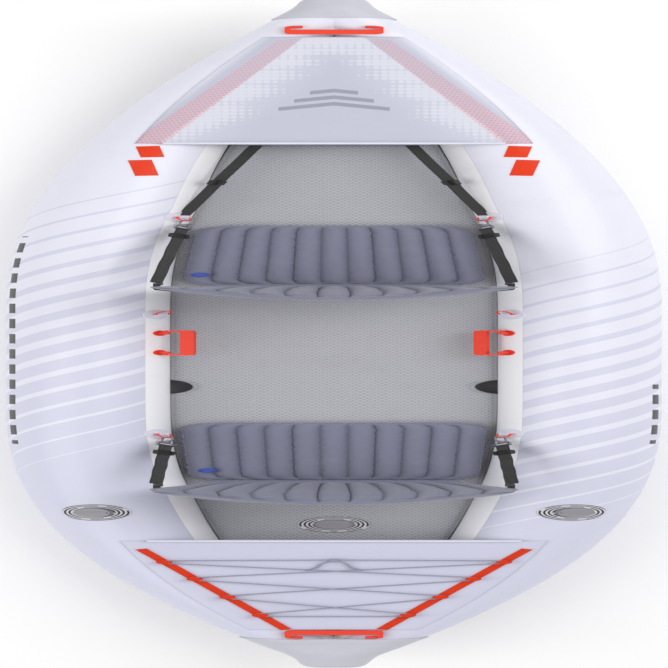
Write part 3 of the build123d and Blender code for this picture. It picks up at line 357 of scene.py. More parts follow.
# --- material helpers -------------------------------------------------------------
class Graph:
    """Small builder for a node tree: every call adds one node and returns an output."""

    def __init__(self, tree):
        self.tree = tree

    def add(self, kind, inputs=(), **settings):
        node = self.tree.nodes.new(kind)
        for key, value in settings.items():
            setattr(node, key, value)
        for key, value in dict(inputs).items():
            self.feed(node.inputs[key], value)
        return node

    def feed(self, socket, value):
        if isinstance(value, bpy.types.NodeSocket):
            self.tree.links.new(value, socket)
        elif value is not None:
            if hasattr(socket.default_value, "__len__") and len(socket.default_value) == 4:
                value = (*tuple(value)[:3], 1)
            socket.default_value = value

    def math(self, operation, a, b=None, c=None, clamp=False):
        node = self.add("ShaderNodeMath", operation=operation, use_clamp=clamp)
        for socket, value in zip(node.inputs, (a, b, c)):
            self.feed(socket, value)
        return node.outputs[0]

    def step(self, value, low, high, out_low=0.0, out_high=1.0):
        """Smooth ramp of a value between two limits."""
        node = self.add("ShaderNodeMapRange", interpolation_type="SMOOTHSTEP", inputs={
            "Value": value, "From Min": low, "From Max": high, "To Min": out_low, "To Max": out_high})
        return node.outputs[0]

    def mix(self, factor, a, b, blend="MIX"):
        node = self.add("ShaderNodeMix", data_type="RGBA", blend_type=blend)
        for index, value in ((0, factor), (6, a), (7, b)):
            self.feed(node.inputs[index], value)
        return node.outputs[2]

    def split(self, vector):
        return self.add("ShaderNodeSeparateXYZ", {"Vector": vector}).outputs

    def place(self, kind="Object"):
        return self.add("ShaderNodeTexCoord").outputs[kind]

    def scaled(self, vector, scale, rotation=(0, 0, 0), offset=(0, 0, 0)):
        return self.add("ShaderNodeMapping", {"Vector": vector, "Scale": scale, "Rotation": rotation,
                                              "Location": offset}).outputs[0]

    def noise(self, vector, scale, detail=3.0, rough=0.5):
        node = self.add("ShaderNodeTexNoise", {"Vector": vector, "Scale": scale, "Detail": detail,
                                               "Roughness": rough})
        return node.outputs["Fac"]

    def cells(self, vector, scale, feature="F1", metric="EUCLIDEAN", randomness=1.0):
        node = self.add("ShaderNodeTexVoronoi", feature=feature)
        if feature != "DISTANCE_TO_EDGE":
            node.distance = metric
        for key, value in (("Vector", vector), ("Scale", scale), ("Randomness", randomness)):
            self.feed(node.inputs[key], value)
        return node.outputs["Distance"]

    def bump(self, height, distance, strength=1.0, normal=None):
        node = self.add("ShaderNodeBump", {"Height": height, "Distance": distance, "Strength": strength})
        if normal is not None:
            self.feed(node.inputs["Normal"], normal)
        return node.outputs[0]

    def group(self, name, **inputs):
        node = self.add("ShaderNodeGroup")
        node.node_tree = bpy.data.node_groups[name]
        for key, value in inputs.items():
            self.feed(node.inputs[key.replace("_", " ")], value)
        return node.outputs

    def finish(self, colour, roughness, normal=None, metallic=0.0, sheen=0.0, coat=0.0, specular=0.5):
        shader = self.add("ShaderNodeBsdfPrincipled", {"Base Color": colour, "Roughness": roughness,
                                                       "Metallic": metallic, "Sheen Weight": sheen,
                                                       "Coat Weight": coat, "Specular IOR Level": specular})
        if normal is not None:
            self.feed(shader.inputs["Normal"], normal)
        out = self.add("ShaderNodeOutputMaterial")
        self.tree.links.new(shader.outputs[0], out.inputs[0])
        return shader


def new_group(name, inputs, outputs):
    """Empty node group with typed inputs and outputs; returns its graph and input sockets."""
    tree = bpy.data.node_groups.new(name, "ShaderNodeTree")
    for label, kind, value in inputs:
        socket = tree.interface.new_socket(label, in_out="INPUT", socket_type=kind)
        if value is not None:
            socket.default_value = value
    for label, kind in outputs:
        tree.interface.new_socket(label, in_out="OUTPUT", socket_type=kind)
    graph = Graph(tree)
    entry = graph.add("NodeGroupInput")
    exit_node = graph.add("NodeGroupOutput")
    return graph, entry.outputs, exit_node.inputs


def make_weave_group():
    """Plain weave: two crossed rows of threads, from a place in metres."""
    graph, given, result = new_group("kayak_weave", [
        ("Vector", "NodeSocketVector", None), ("Thread", "NodeSocketFloat", 0.001)], [
        ("Height", "NodeSocketFloat"), ("Shade", "NodeSocketFloat")])
    x, y, _ = graph.split(given["Vector"])
    turns = [graph.math("MULTIPLY", graph.math("DIVIDE", v, given["Thread"]), math.pi) for v in (x, y)]
    waves = [graph.math("ABSOLUTE", graph.math("SINE", t)) for t in turns]
    sign = graph.math("MULTIPLY", *[graph.math("SIGN", graph.math("SINE", t)) for t in turns])
    over = graph.math("GREATER_THAN", sign, 0.0)
    height = graph.add("ShaderNodeMix", {"Factor": over, "A": waves[0], "B": waves[1]}).outputs[0]
    graph.feed(result["Height"], height)
    graph.feed(result["Shade"], graph.math("MULTIPLY_ADD", height, 0.35, 0.65))


def make_grain_group():
    """Fine pebble of coated fabric, with faint large cloudiness."""
    graph, given, result = new_group("kayak_grain", [
        ("Vector", "NodeSocketVector", None), ("Size", "NodeSocketFloat", 0.0012)], [
        ("Height", "NodeSocketFloat"), ("Cloud", "NodeSocketFloat")])
    rate = graph.math("DIVIDE", 1.0, given["Size"])
    fine = graph.noise(given["Vector"], rate, 2.0, 0.6)
    graph.feed(result["Height"], fine)
    graph.feed(result["Cloud"], graph.noise(given["Vector"], 5.0, 4.0, 0.55))


def make_wear_group():
    """Dust and scuffs: 0 where clean, towards 1 in soft blotches and fine scratches."""
    graph, given, result = new_group("kayak_wear", [
        ("Vector", "NodeSocketVector", None), ("Amount", "NodeSocketFloat", 0.3)], [
        ("Mask", "NodeSocketFloat")])
    blotch = graph.step(graph.noise(given["Vector"], 9.0, 5.0, 0.65), 0.52, 0.78)
    stretched = graph.scaled(given["Vector"], (400, 18, 90), rotation=(0, 0, 0.4))
    scratch = graph.step(graph.noise(stretched, 1.0, 2.0), 0.66, 0.72)
    both = graph.math("MAXIMUM", blotch, graph.math("MULTIPLY", scratch, 0.5))
    graph.feed(result["Mask"], graph.math("MULTIPLY", both, given["Amount"], clamp=True))


def make_hex_group():
    """Honeycomb of raised pads: distance to the nearest edge of a hexagonal cell."""
    graph, given, result = new_group("kayak_hex", [
        ("Vector", "NodeSocketVector", None), ("Cell", "NodeSocketFloat", 0.02)], [
        ("Pad", "NodeSocketFloat")])
    x, y, _ = graph.split(given["Vector"])
    root = math.sqrt(3)
    best = None
    for shift in (0.0, 0.5):
        place = graph.math("ADD", graph.math("DIVIDE", x, given["Cell"]), shift)
        u = graph.math("SUBTRACT", graph.math("FRACT", place), 0.5)
        run = graph.math("ADD", graph.math("DIVIDE", y, graph.math("MULTIPLY", given["Cell"], root)), shift)
        v = graph.math("MULTIPLY", graph.math("SUBTRACT", graph.math("FRACT", run), 0.5), root)
        au, av = graph.math("ABSOLUTE", u), graph.math("ABSOLUTE", v)
        slant = graph.math("ADD", graph.math("MULTIPLY", au, 0.5), graph.math("MULTIPLY", av, root / 2))
        reach = graph.math("MAXIMUM", au, slant)
        best = reach if best is None else graph.math("MINIMUM", best, reach)
    graph.feed(result["Pad"], graph.step(best, 0.34, 0.47, 1.0, 0.0))


def material(name):
    made = bpy.data.materials.new(name)
    made.use_nodes = True
    made.node_tree.nodes.clear()
    return made, Graph(made.node_tree)


def tube_material():
    """Coated white fabric with slanted printed bands that widen towards the stern.

    Band mask: the distance of fract((y - slope x arc)/pitch) from one half, below a
    share that grows along the boat; it stops at a seam on the inner shoulder.
    """
    made, graph = material("tube_fabric")
    place = graph.place()
    x, y, z = graph.split(place)
    uv = graph.split(graph.place("UV"))
    side = graph.math("SIGN", x)
    arc = graph.math("MULTIPLY", graph.math("SUBTRACT", 0.5, uv[0]), 2 * math.pi * hull().tube)
    along = graph.math("SUBTRACT", y, graph.math("MULTIPLY", graph.math("MULTIPLY", side, arc), STRIPE_SLOPE))
    phase = graph.math("FRACT", graph.math("DIVIDE", along, STRIPE_PITCH))
    centred = graph.math("MULTIPLY", graph.math("ABSOLUTE", graph.math("SUBTRACT", phase, 0.5)), 2.0)
    start = graph.math("MULTIPLY_ADD", side, -STRIPE_SIDE_SHIFT, STRIPE_START)
    share = graph.math("DIVIDE", graph.math("SUBTRACT", along, start), STRIPE_RUN)
    band = graph.step(graph.math("SUBTRACT", graph.math("ADD", share, 0.03), centred), -0.02, 0.02)
    band = graph.math("MULTIPLY", band, graph.step(share, 0.0, 0.04))
    outer = graph.step(uv[0], INNER_SEAM - 0.0015, INNER_SEAM, 1.0, 0.0)
    outer = graph.math("MULTIPLY", outer, graph.step(uv[0], LOWER_SEAM, LOWER_SEAM + 0.0015))
    band = graph.math("MULTIPLY", band, outer)
    grain = graph.group("kayak_grain", Vector=place, Size=0.0011)
    wear = graph.group("kayak_wear", Vector=place, Amount=0.10)["Mask"]
    base = graph.mix(graph.math("MULTIPLY", grain["Cloud"], 0.10), hull().white, hull().stripe)
    colour = graph.mix(graph.math("MULTIPLY", band, 0.62), base, hull().stripe)
    marks = graph.math("MULTIPLY", side_marks(graph, y, uv[0], x), outer)
    colour = graph.mix(marks, colour, MARK_BLACK)
    # Inner panel, from the seam inboard: its own whiter white, brightened further as painted light against
    # the shade it lies in.
    inner = graph.step(uv[0], INNER_SEAM - 0.0015, INNER_SEAM)
    colour = graph.mix(inner, colour, INNER_WHITE_PAINTED_LIGHT)
    colour = graph.mix(wear, colour, (0.42, 0.42, 0.44))
    height = graph.math("ADD", graph.math("MULTIPLY", grain["Height"], 0.0002),
                        graph.math("MULTIPLY", outer, 0.0006))
    rough = graph.math("ADD", graph.math("MULTIPLY", wear, 0.8), 0.36)
    graph.finish(colour, rough, graph.bump(height, 1.0, 0.9), coat=0.12)
    return made


STRIPE_PITCH, STRIPE_SLOPE = 0.0915, 0.95      # metres between bands, and their slant
STRIPE_START, STRIPE_SIDE_SHIFT, STRIPE_RUN = -0.66, 0.20, 1.62
# The inner panel's white is brightened as painted light against the shade on that side of the tube.
MARK_BLACK, INNER_WHITE_PAINTED_LIGHT = (0.03, 0.03, 0.03), (0.93, 0.93, 0.96)
HATCH_ROW, HATCH_BREAK = 0.0095, 0.006
INNER_SEAM = 0.628       # turn round the tube, 0 below and growing inboard over the crown
LOWER_SEAM = 0.06


def side_marks(graph, y, turn, x):
    """Row of plain short bars on the outer flank, in place of lettering."""
    row = graph.math("MULTIPLY", graph.step(turn, 0.302, 0.304), graph.step(turn, 0.334, 0.336, 1.0, 0.0))
    port = graph.math("GREATER_THAN", x, 0.0)
    low = graph.math("MULTIPLY_ADD", port, -0.83, 0.283)
    gate = graph.math("MULTIPLY", graph.math("GREATER_THAN", y, low), graph.math("LESS_THAN", y, 0.616))
    beat = graph.math("FRACT", graph.math("DIVIDE", y, 0.085))
    return graph.math("MULTIPLY", graph.math("MULTIPLY", row, gate), graph.step(beat, 0.62, 0.63, 1.0, 0.0))


def deck_material():
    """Bow deck: halo of white dots, two red hatched bands and a plain grey emblem."""
    made, graph = material("bow_deck_fabric")
    place = graph.place()
    x, y, z = graph.split(place)
    ax = graph.math("ABSOLUTE", x)
    part = graph.math("DIVIDE", graph.math("SUBTRACT", y, -1.630), 0.554)
    line = graph.math("ADD", graph.math("MULTIPLY", part, 0.177), 0.055)
    off = graph.math("SUBTRACT", ax, line)
    wide = graph.math("ADD", graph.math("MULTIPLY", part, 0.008), 0.013)
    in_band = graph.step(graph.math("ABSOLUTE", off), wide, graph.math("ADD", wide, 0.001), 1, 0)
    strip = graph.math("MULTIPLY", in_band,
                       graph.step(part, 0.0, 0.01))
    rows = graph.math("ADD", y, graph.math("MULTIPLY", ax, 0.25))
    hatch = graph.math("FRACT", graph.math("DIVIDE", rows, HATCH_ROW))
    breaks = graph.math("ADD", off, graph.math("MULTIPLY", y, 0.5))
    ticks = graph.math("FRACT", graph.math("DIVIDE", breaks, HATCH_BREAK))
    hatch = graph.math("MULTIPLY", graph.step(hatch, 0.42, 0.5, 1, 0), graph.step(ticks, 0.72, 0.8, 1, 0))
    fade = graph.math("MULTIPLY_ADD", part, 0.30, 0.38)
    red = graph.math("MULTIPLY", graph.math("MULTIPLY", strip, hatch), fade)
    cone = graph.math("DIVIDE", off, 0.12)
    halo = graph.math("MULTIPLY", graph.step(cone, -1.0, -0.25), graph.step(cone, -0.14, -0.10, 1, 0))
    tip = graph.step(y, -1.47, -1.60)
    spread = graph.math("MAXIMUM", halo, graph.math("MULTIPLY", tip, graph.step(cone, -0.14, -0.10, 1, 0)))
    cells = graph.cells(graph.scaled(place, (1, 0.55, 1)), 95.0, randomness=0.0)
    dot = graph.step(graph.math("SUBTRACT", graph.math("MULTIPLY", spread, 0.62), cells), -0.06, 0.06)
    grain = graph.group("kayak_grain", Vector=place, Size=0.0010)
    colour = graph.mix(graph.math("MULTIPLY", spread, 0.28), hull().deck, hull().white)
    colour = graph.mix(graph.math("MULTIPLY", dot, 0.30), colour, (0.86, 0.87, 0.93))
    colour = graph.mix(graph.math("MULTIPLY", emblem(graph, x, y), 0.9), colour, trim().print_grey)
    colour = graph.mix(red, colour, trim().red)
    outside = graph.step(off, 0.02, 0.05)
    colour = graph.mix(outside, colour, hull().white)
    graph.finish(colour, 0.42, graph.bump(grain["Height"], 0.0002), coat=0.08)
    return made


def emblem(graph, x, y):
    """Plain mark: three level chevron bars, one above the other."""
    ax = graph.math("ABSOLUTE", x)
    total = None
    for k, half in enumerate((0.030, 0.050, 0.070)):
        line = graph.math("ADD", graph.math("MULTIPLY", ax, 0.42), -1.352 + 0.036 * k)
        bar = graph.step(graph.math("ABSOLUTE", graph.math("SUBTRACT", y, line)), 0.0095, 0.0105, 1, 0)
        bar = graph.math("MULTIPLY", bar, graph.step(ax, half, half + 0.0008, 1, 0))
        total = bar if total is None else graph.math("MAXIMUM", total, bar)
    return total


def plain_deck_material():
    made, graph = material("stern_deck_fabric")
    place = graph.place()
    grain = graph.group("kayak_grain", Vector=place, Size=0.0010)
    wear = graph.group("kayak_wear", Vector=place, Amount=0.08)["Mask"]
    colour = graph.mix(graph.math("MULTIPLY", grain["Cloud"], 0.25), hull().stern, hull().stripe)
    colour = graph.mix(wear, colour, (0.40, 0.40, 0.42))
    graph.finish(colour, 0.42, graph.bump(grain["Height"], 0.0002), coat=0.08)
    return made


def coated_material(name, colour, roughness=0.45, speckle=0.08):
    """Plain coated fabric or moulded flexible plastic with a fine grain."""
    made, graph = material(name)
    place = graph.place()
    grain = graph.group("kayak_grain", Vector=place, Size=0.0012)
    wear = graph.group("kayak_wear", Vector=place, Amount=speckle)["Mask"]
    darker = [c * 0.72 for c in colour]
    shade = graph.mix(graph.math("MULTIPLY", grain["Cloud"], 0.35), colour, darker)
    shade = graph.mix(wear, shade, (0.35, 0.35, 0.36))
    rough = graph.math("MULTIPLY_ADD", wear, 0.6, roughness)
    graph.finish(shade, rough, graph.bump(grain["Height"], 0.00015), specular=0.3)
    return made


def floor_material():
    """Grey floor pad embossed with small hexagons, with painted shade in the grooves; plain side walls."""
    made, graph = material("floor_pad_fabric")
    place = graph.place()
    normal = graph.split(graph.add("ShaderNodeNewGeometry").outputs["Normal"])
    flat = graph.step(normal[2], 0.6, 0.85)
    pad = graph.group("kayak_hex", Vector=place, Cell=0.0095)["Pad"]
    grain = graph.group("kayak_grain", Vector=place, Size=0.0009)
    wear = graph.group("kayak_wear", Vector=place, Amount=0.16)["Mask"]
    # Painted shade: the pad grey darkened in the hexagon grooves; the cloudiness below also leans towards
    # this shade.
    groove = [c * 0.74 for c in hull().floor_grey]
    colour = graph.mix(pad, groove, hull().floor_grey)
    colour = graph.mix(graph.math("MULTIPLY", grain["Cloud"], 0.22), colour, groove)
    colour = graph.mix(wear, colour, (0.30, 0.30, 0.30))
    colour = graph.mix(flat, (0.62, 0.62, 0.62), colour)
    height = graph.math("ADD", graph.math("MULTIPLY", graph.math("MULTIPLY", pad, flat), 0.0009),
                        graph.math("MULTIPLY", grain["Height"], 0.00025))
    graph.finish(colour, 0.62, graph.bump(height, 1.0))
    return made


def seat_material():
    """Grey nylon with a fine weave, crumple and a soft sheen; painted shade in the weave's dips and along the
    seams between ribs, painted highlight where the crumple rises; uv is in metres.
    """
    made, graph = material("seat_nylon")
    uv = graph.place("UV")
    weave = graph.group("kayak_weave", Vector=uv, Thread=0.0009)
    place = graph.place()
    crumple = graph.noise(graph.scaled(place, (1.0, 1.0, 1.0)), 38.0, 4.0, 0.6)
    wear = graph.group("kayak_wear", Vector=place, Amount=0.12)["Mask"]
    seam = graph.add("ShaderNodeAttribute", attribute_name="seam").outputs["Fac"]
    # Painted shade: the seat grey darkened, laid into the weave's dips and along the rib seams.
    painted_shade_colour = [c * 0.55 for c in trim().seat]
    colour = graph.mix(graph.math("MULTIPLY", weave["Shade"], 0.9), painted_shade_colour, trim().seat)
    # Painted highlight: lighter seat grey where the crumple rises.
    colour = graph.mix(graph.math("MULTIPLY", crumple, 0.25), colour, [min(c * 1.35, 1) for c in trim().seat])
    # Painted shade along the seams between the puffed ribs.
    colour = graph.mix(graph.math("MULTIPLY", seam, 0.8), colour, painted_shade_colour)
    colour = graph.mix(wear, colour, (0.40, 0.40, 0.42))
    height = graph.math("ADD", graph.math("MULTIPLY", weave["Height"], 0.00018),
                        graph.math("MULTIPLY", crumple, 0.0030))
    graph.finish(colour, 0.58, graph.bump(height, 1.0), sheen=0.35)
    return made


def webbing_material(name="webbing_weave", colour=None, thread=0.0016):
    """Woven webbing: ribs across the strap and twill along it; uv is in metres."""
    made, graph = material(name)
    colour = colour if colour is not None else trim().webbing
    uv = graph.place("UV")
    turned = graph.scaled(uv, (1, 1, 1), rotation=(0, 0, 0.785))
    weave = graph.group("kayak_weave", Vector=turned, Thread=thread)
    fuzz = graph.noise(graph.place(), 900.0, 2.0)
    # Painted highlight on the thread crowns (light) and painted shade in the dips (0.45 of the colour).
    light = [min(c * 1.7 + 0.004, 1) for c in colour]
    shade = graph.mix(weave["Height"], [c * 0.45 for c in colour], light)
    shade = graph.mix(graph.math("MULTIPLY", fuzz, 0.3), shade, colour)
    graph.finish(shade, 0.78, graph.bump(weave["Height"], 0.0005), sheen=0.2)
    return made


def moulded_material(name, colour, roughness=0.4, metallic=0.0, wear_amount=0.2):
    """Moulded plastic or coated metal: spark-eroded grain and rubbed patches."""
    made, graph = material(name)
    place = graph.place()
    grain = graph.group("kayak_grain", Vector=place, Size=0.0006)
    wear = graph.group("kayak_wear", Vector=place, Amount=wear_amount)["Mask"]
    rubbed = [min(c * 1.5 + 0.05, 1) for c in colour]
    shade = graph.mix(graph.math("MULTIPLY", grain["Cloud"], 0.3), colour, [c * 0.75 for c in colour])
    shade = graph.mix(wear, shade, rubbed)
    rough = graph.math("MULTIPLY_ADD", wear, 0.5, roughness)
    graph.finish(shade, rough, graph.bump(grain["Height"], 0.00012), metallic=metallic)
    return made


def rail_material():
    """Orange rubber with a fine hexagon emboss and painted shade in its grooves."""
    made, graph = material("orange_rubber_hex")
    place = graph.place()
    pad = graph.group("kayak_hex", Vector=place, Cell=0.006)["Pad"]
    wear = graph.group("kayak_wear", Vector=place, Amount=0.2)["Mask"]
    # Painted shade: the orange darkened in the grooves between the hexagon pads.
    painted_shade_colour = [c * 0.62 for c in trim().orange]
    colour = graph.mix(pad, painted_shade_colour, trim().orange)
    colour = graph.mix(wear, colour, [min(c * 1.2 + 0.04, 1) for c in trim().orange])
    graph.finish(colour, graph.math("MULTIPLY_ADD", wear, 0.4, 0.5), graph.bump(pad, 0.0005), specular=0.25)
    return made


# --- hull pieces ------------------------------------------------------------------
TUBE_HALF_LENGTH = HALF_LENGTH - 0.070
VALVE_AXIS = (0.2753, 0.0457, 0.9603)
VALVE_CENTRE = (0.30319, 0.993, 0.20947)
FLOOR_VALVE = (0.0, 1.076, 0.09129)
POCKET_RADIUS, POCKET_DEPTH, POCKET_CLEAR = 0.0235, 0.038, 0.02
RING_PITCH = 0.0058      # metres between printed rings round a valve
HEM_RADIUS = 0.0062
FLOOR_ENDS, FLOOR_END_ROUND, FLOOR_EDGE = (-1.350, 1.400), 0.020, 0.016
NOTCH_Y, NOTCH_RADIUS, NOTCH_OUTSET = 0.300, 0.042, 0.012


def make_tubes():
    """Side tubes: centre line (tube_x, y, tube_z) and circles of tube_radius round it.

    Turn t runs from 0 below, outboard and over the crown at 0.5 to inboard.
    """
    y = np.linspace(-TUBE_HALF_LENGTH, TUBE_HALF_LENGTH, 520)
    t = np.linspace(0, 1, 72, endpoint=False)
    yy, tt = np.meshgrid(y, t, indexing="ij")
    r = tube_radius(yy) * (1 + 0.0016 * wobble(yy, tt * 0.4, 3, 0.35))
    angle = 2 * math.pi * tt
    rings = np.stack([tube_x(yy) + r * np.sin(angle), yy, tube_z(yy) - r * np.cos(angle)], -1)
    port = shell("port_tube_skin", rings, np.stack([tt, yy], -1), tube_material())
    cut_round(port, VALVE_CENTRE, VALVE_AXIS, POCKET_RADIUS, -POCKET_DEPTH, POCKET_CLEAR)
    starboard = mirrored_copy(port, "starboard_tube_skin")
    settle(port, "hull_pvc", "port_side_tube")
    settle(starboard, "hull_pvc", "starboard_side_tube")


def make_floor():
    """Floor pad: rounded-rectangle sections whose half width follows the tubes.

    Half width = smaller of the tube gap and the notch circle; corners are quarter circles.
    """
    low, high = FLOOR_ENDS
    y = np.unique(np.concatenate([np.linspace(low, high, 300), np.linspace(0.252, 0.348, 40)]))
    gap = floor_half(y)
    bite = gap + NOTCH_OUTSET - np.sqrt(np.maximum(NOTCH_RADIUS ** 2 - (y - NOTCH_Y) ** 2, 0))
    half = np.where(np.abs(y - NOTCH_Y) < NOTCH_RADIUS, np.minimum(gap, bite), gap)
    end = np.minimum(y - low, high - y)
    round_end = FLOOR_END_ROUND * (1 - np.sqrt(1 - (1 - np.clip(end / FLOOR_END_ROUND, 0, 1)) ** 2))
    base, top = keel(y) + SKIN + HULL_GAP + round_end, floor_top(y) - round_end
    half = half - round_end
    arc = np.linspace(0, math.pi / 2, 6)
    across = np.linspace(-1, 1, 60)
    sections = []
    for b, t, h in zip(base, top, half):
        c = min(FLOOR_EDGE, (t - b) * 0.45)
        upper = np.stack([-across * (h - c), np.full(60, t)], -1)
        left = np.stack([-(h - c) - c * np.sin(arc), t - c + c * np.cos(arc)], -1)
        low_left = np.stack([-(h - c) - c * np.cos(arc), b + c - c * np.sin(arc)], -1)
        lower = np.stack([across * (h - c), np.full(60, b)], -1)
        low_right = np.stack([(h - c) + c * np.sin(arc), b + c - c * np.cos(arc)], -1)
        right = np.stack([(h - c) + c * np.cos(arc), t - c + c * np.sin(arc)], -1)
        sections.append(np.concatenate([upper, left[1:], low_left, lower[1:], low_right[1:], right]))
    loops = np.array(sections)
    rings = np.stack([loops[..., 0], np.broadcast_to(y[:, None], loops.shape[:2]), loops[..., 1]], -1)
    pad = shell("floor_pad", rings, material=floor_material())
    cut_round(pad, FLOOR_VALVE, (0, -0.07, 1), POCKET_RADIUS, -POCKET_DEPTH, POCKET_CLEAR)
    settle(pad, "floor_pvc", "air_floor")


def deck_surface(y, x, lift=0.0):
    """Deck height: level between the tube crowns, then following the tubes outboard."""
    r = tube_radius(y) + GAP + SKIN
    over = np.maximum(np.abs(x) - tube_x(y), 0)
    return tube_z(y) + np.sqrt(np.maximum(r * r - over * over, 1e-6)) + lift


def make_deck(direction):
    """Deck fabric with its rolled hem; flat size is the sheet's own width and length."""
    bow = direction < 0
    edge, tip = (BOW_EDGE, -1.640) if bow else (STERN_EDGE, 1.640)
    y = np.linspace(edge, tip, 120)
    s = np.linspace(-1, 1, 90)
    yy, ss = np.meshgrid(y, s, indexing="ij")
    half = tube_x(yy) + 0.025
    xx = ss * half
    inner = np.clip(1 - (xx / np.maximum(tube_x(yy), 1e-3)) ** 2, 0, 1)
    near = smooth(1 - np.abs(yy - edge) / 0.16)
    puff = 0.0008 * wobble(xx, yy, 8 if bow else 9, 0.13)
    z = deck_surface(yy, xx) + inner * (puff - 0.0008 - 0.002 * near)
    name = "bow" if bow else "stern"
    top = np.stack([xx, yy, z], -1)
    fabric = plate(f"{name}_deck_fabric", top if bow else top[::-1], SKIN * 0.8, np.stack([xx, yy], -1),
                   deck_material() if bow else plain_deck_material())
    settle(fabric, "hull_pvc", f"{name}_deck")
    reach = float(tube_x(edge)) - 0.010
    x = np.linspace(-reach, reach, 90)
    crown = float(deck_top(edge)) + 0.00615
    line = np.stack([x, np.full(90, edge), np.full(90, crown)], -1)
    radius = HEM_RADIUS + 0.0003 * wobble(x, x * 0, 5, 0.05)
    hem = sweep_tube(f"{name}_deck_hem", line, radius, hem_material(), 20)
    settle(hem, "hull_pvc")


def hem_material():
    """One coated white for both hems."""
    made = bpy.data.materials.get("hem_fabric")
    if made is None:
        made = coated_material("hem_fabric", tuple(hull().white), 0.42, 0.05)
    return made


# --- seats ------------------------------------------------------------------------
CUSHIONS = {"front": {"y": (-0.609, -0.2777), "half": (0.175, 0.195)},
            "rear": {"y": (0.503, 0.8223), "half": (0.198, 0.186)}}
CUSHION_Z = (0.0826, 0.1276)
CUSHION_CORNER = 0.040
HINGES = {"front": (-0.262, 0.1356), "rear": (0.838, 0.13571)}
RECLINE = math.radians(12)
UP = np.array([0, math.sin(RECLINE), math.cos(RECLINE)])
AFT = np.array([0, math.cos(RECLINE), -math.sin(RECLINE)])
BACK_SHAPE = np.array([(8, 165, 24, 2), (100, 200, 42, 14), (235, 228, 44, 44), (315, 220, 36, 54),
                       (347, 185, 20, 50)]) / 1000


def rib_wave(u, count):
    """Puffed ribs: square root of |sin| across the piece, 0 in the seams, 1 between."""
    return np.sqrt(np.abs(np.sin(math.pi * count * (u + 1) / 2)))


def pad_profile(u, v):
    """Pillow edge: falls from 1 to 0 along a quarter ellipse at the rim."""
    edge = (1 - np.abs(u) ** 8) * (1 - np.abs(v) ** 10)
    return np.sqrt(np.clip(edge, 0, 1))


def pillow(name, place, rows, columns, count, depth, material, seed):
    """Closed ribbed pad; place(u, v, side, fill) gives points, side is 1 on top, -1 below."""
    u = np.sin(np.linspace(-1, 1, columns) * math.pi / 2) * 0.35 + np.linspace(-1, 1, columns) * 0.65
    v = np.sin(np.linspace(-1, 1, rows) * math.pi / 2) * 0.6 + np.linspace(-1, 1, rows) * 0.4
    vv, uu = np.meshgrid(v, u, indexing="ij")
    rib = rib_wave(uu, count)
    inside = smooth((1 - np.abs(vv)) / 0.12)
    pucker = 0.0030 * wobble(uu * 0.25, vv * 0.2, seed, 0.03) * (1 - rib) * inside
    sheets = []
    for side in (1, -1):
        groove = depth * (1 - rib) * inside * (1 if side > 0 else 0.5)
        fill = pad_profile(uu, vv)
        sheets.append(place(uu, vv, side, fill, groove, pucker))
    points = np.concatenate([s.reshape(-1, 3) for s in sheets])
    faces = grid_faces(rows, columns)
    under = [[d, c, b, a] for a, b, c, d in grid_faces(rows, columns, first=rows * columns)]
    uv = np.stack([uu * 0.2, vv * 0.18], -1).reshape(-1, 2)
    piece = new_piece(name, points, faces + under, np.concatenate([uv, uv]), material)
    # Seam mask along the grooves between ribs; the seat material paints shade with it.
    mark = piece.data.attributes.new("seam", "FLOAT", "POINT")
    line = np.exp(-(rib / 0.22) ** 2) * inside
    mark.data.foreach_set("value", np.concatenate([line.ravel()] * 2).astype(np.float32))
    return tidy_mesh(piece, 2e-4)


def make_cushion(name):
    """Seat cushion: ribs run along the boat; plan is a tapered rectangle with round corners."""
    y0, y1 = CUSHIONS[name]["y"]
    a, b = CUSHIONS[name]["half"]
    middle = sum(CUSHION_Z) / 2
    thick = (CUSHION_Z[1] - CUSHION_Z[0]) / 2

    def place(u, v, side, fill, groove, pucker):
        part = (v + 1) / 2
        y = y0 + (y1 - y0) * part
        end = np.minimum(y - y0, y1 - y)
        inset = CUSHION_CORNER * (1 - np.sqrt(1 - (1 - np.clip(end / CUSHION_CORNER, 0, 1)) ** 2))
        half = a + (b - a) * part - inset
        swell = np.abs(np.sin(math.pi * trim().ribs * (u + 1) / 2))
        bow_out = 0.004 * swell * np.sign(v) * smooth(np.abs(v) * 6 - 5)
        rise = thick * (0.10 + 0.90 * fill) - groove - np.abs(pucker) * 0.5
        z = middle + side * np.maximum(rise, 0.002) * (fill > 0)
        z = np.where(side > 0, z, np.maximum(z, CUSHION_Z[0] + 0.0006))
        return np.stack([u * half + pucker * 0.6, y + bow_out, z], -1)

    pad = pillow(f"{name}_seat_pad", place, 90, 320, trim().ribs, trim().rib_depth, shared(seat_material), 21)
    settle(pad, "seat_fabric", f"{name}_cushion")


def back_point(name, height, x, forward):
    """Point of a backrest from its height up the slope, place across and forward offset."""
    y, z = HINGES[name]
    origin = np.array([0, y, z])
    return (origin + height[..., None] * UP - forward[..., None] * AFT + x[..., None] * np.array([1.0, 0, 0]))


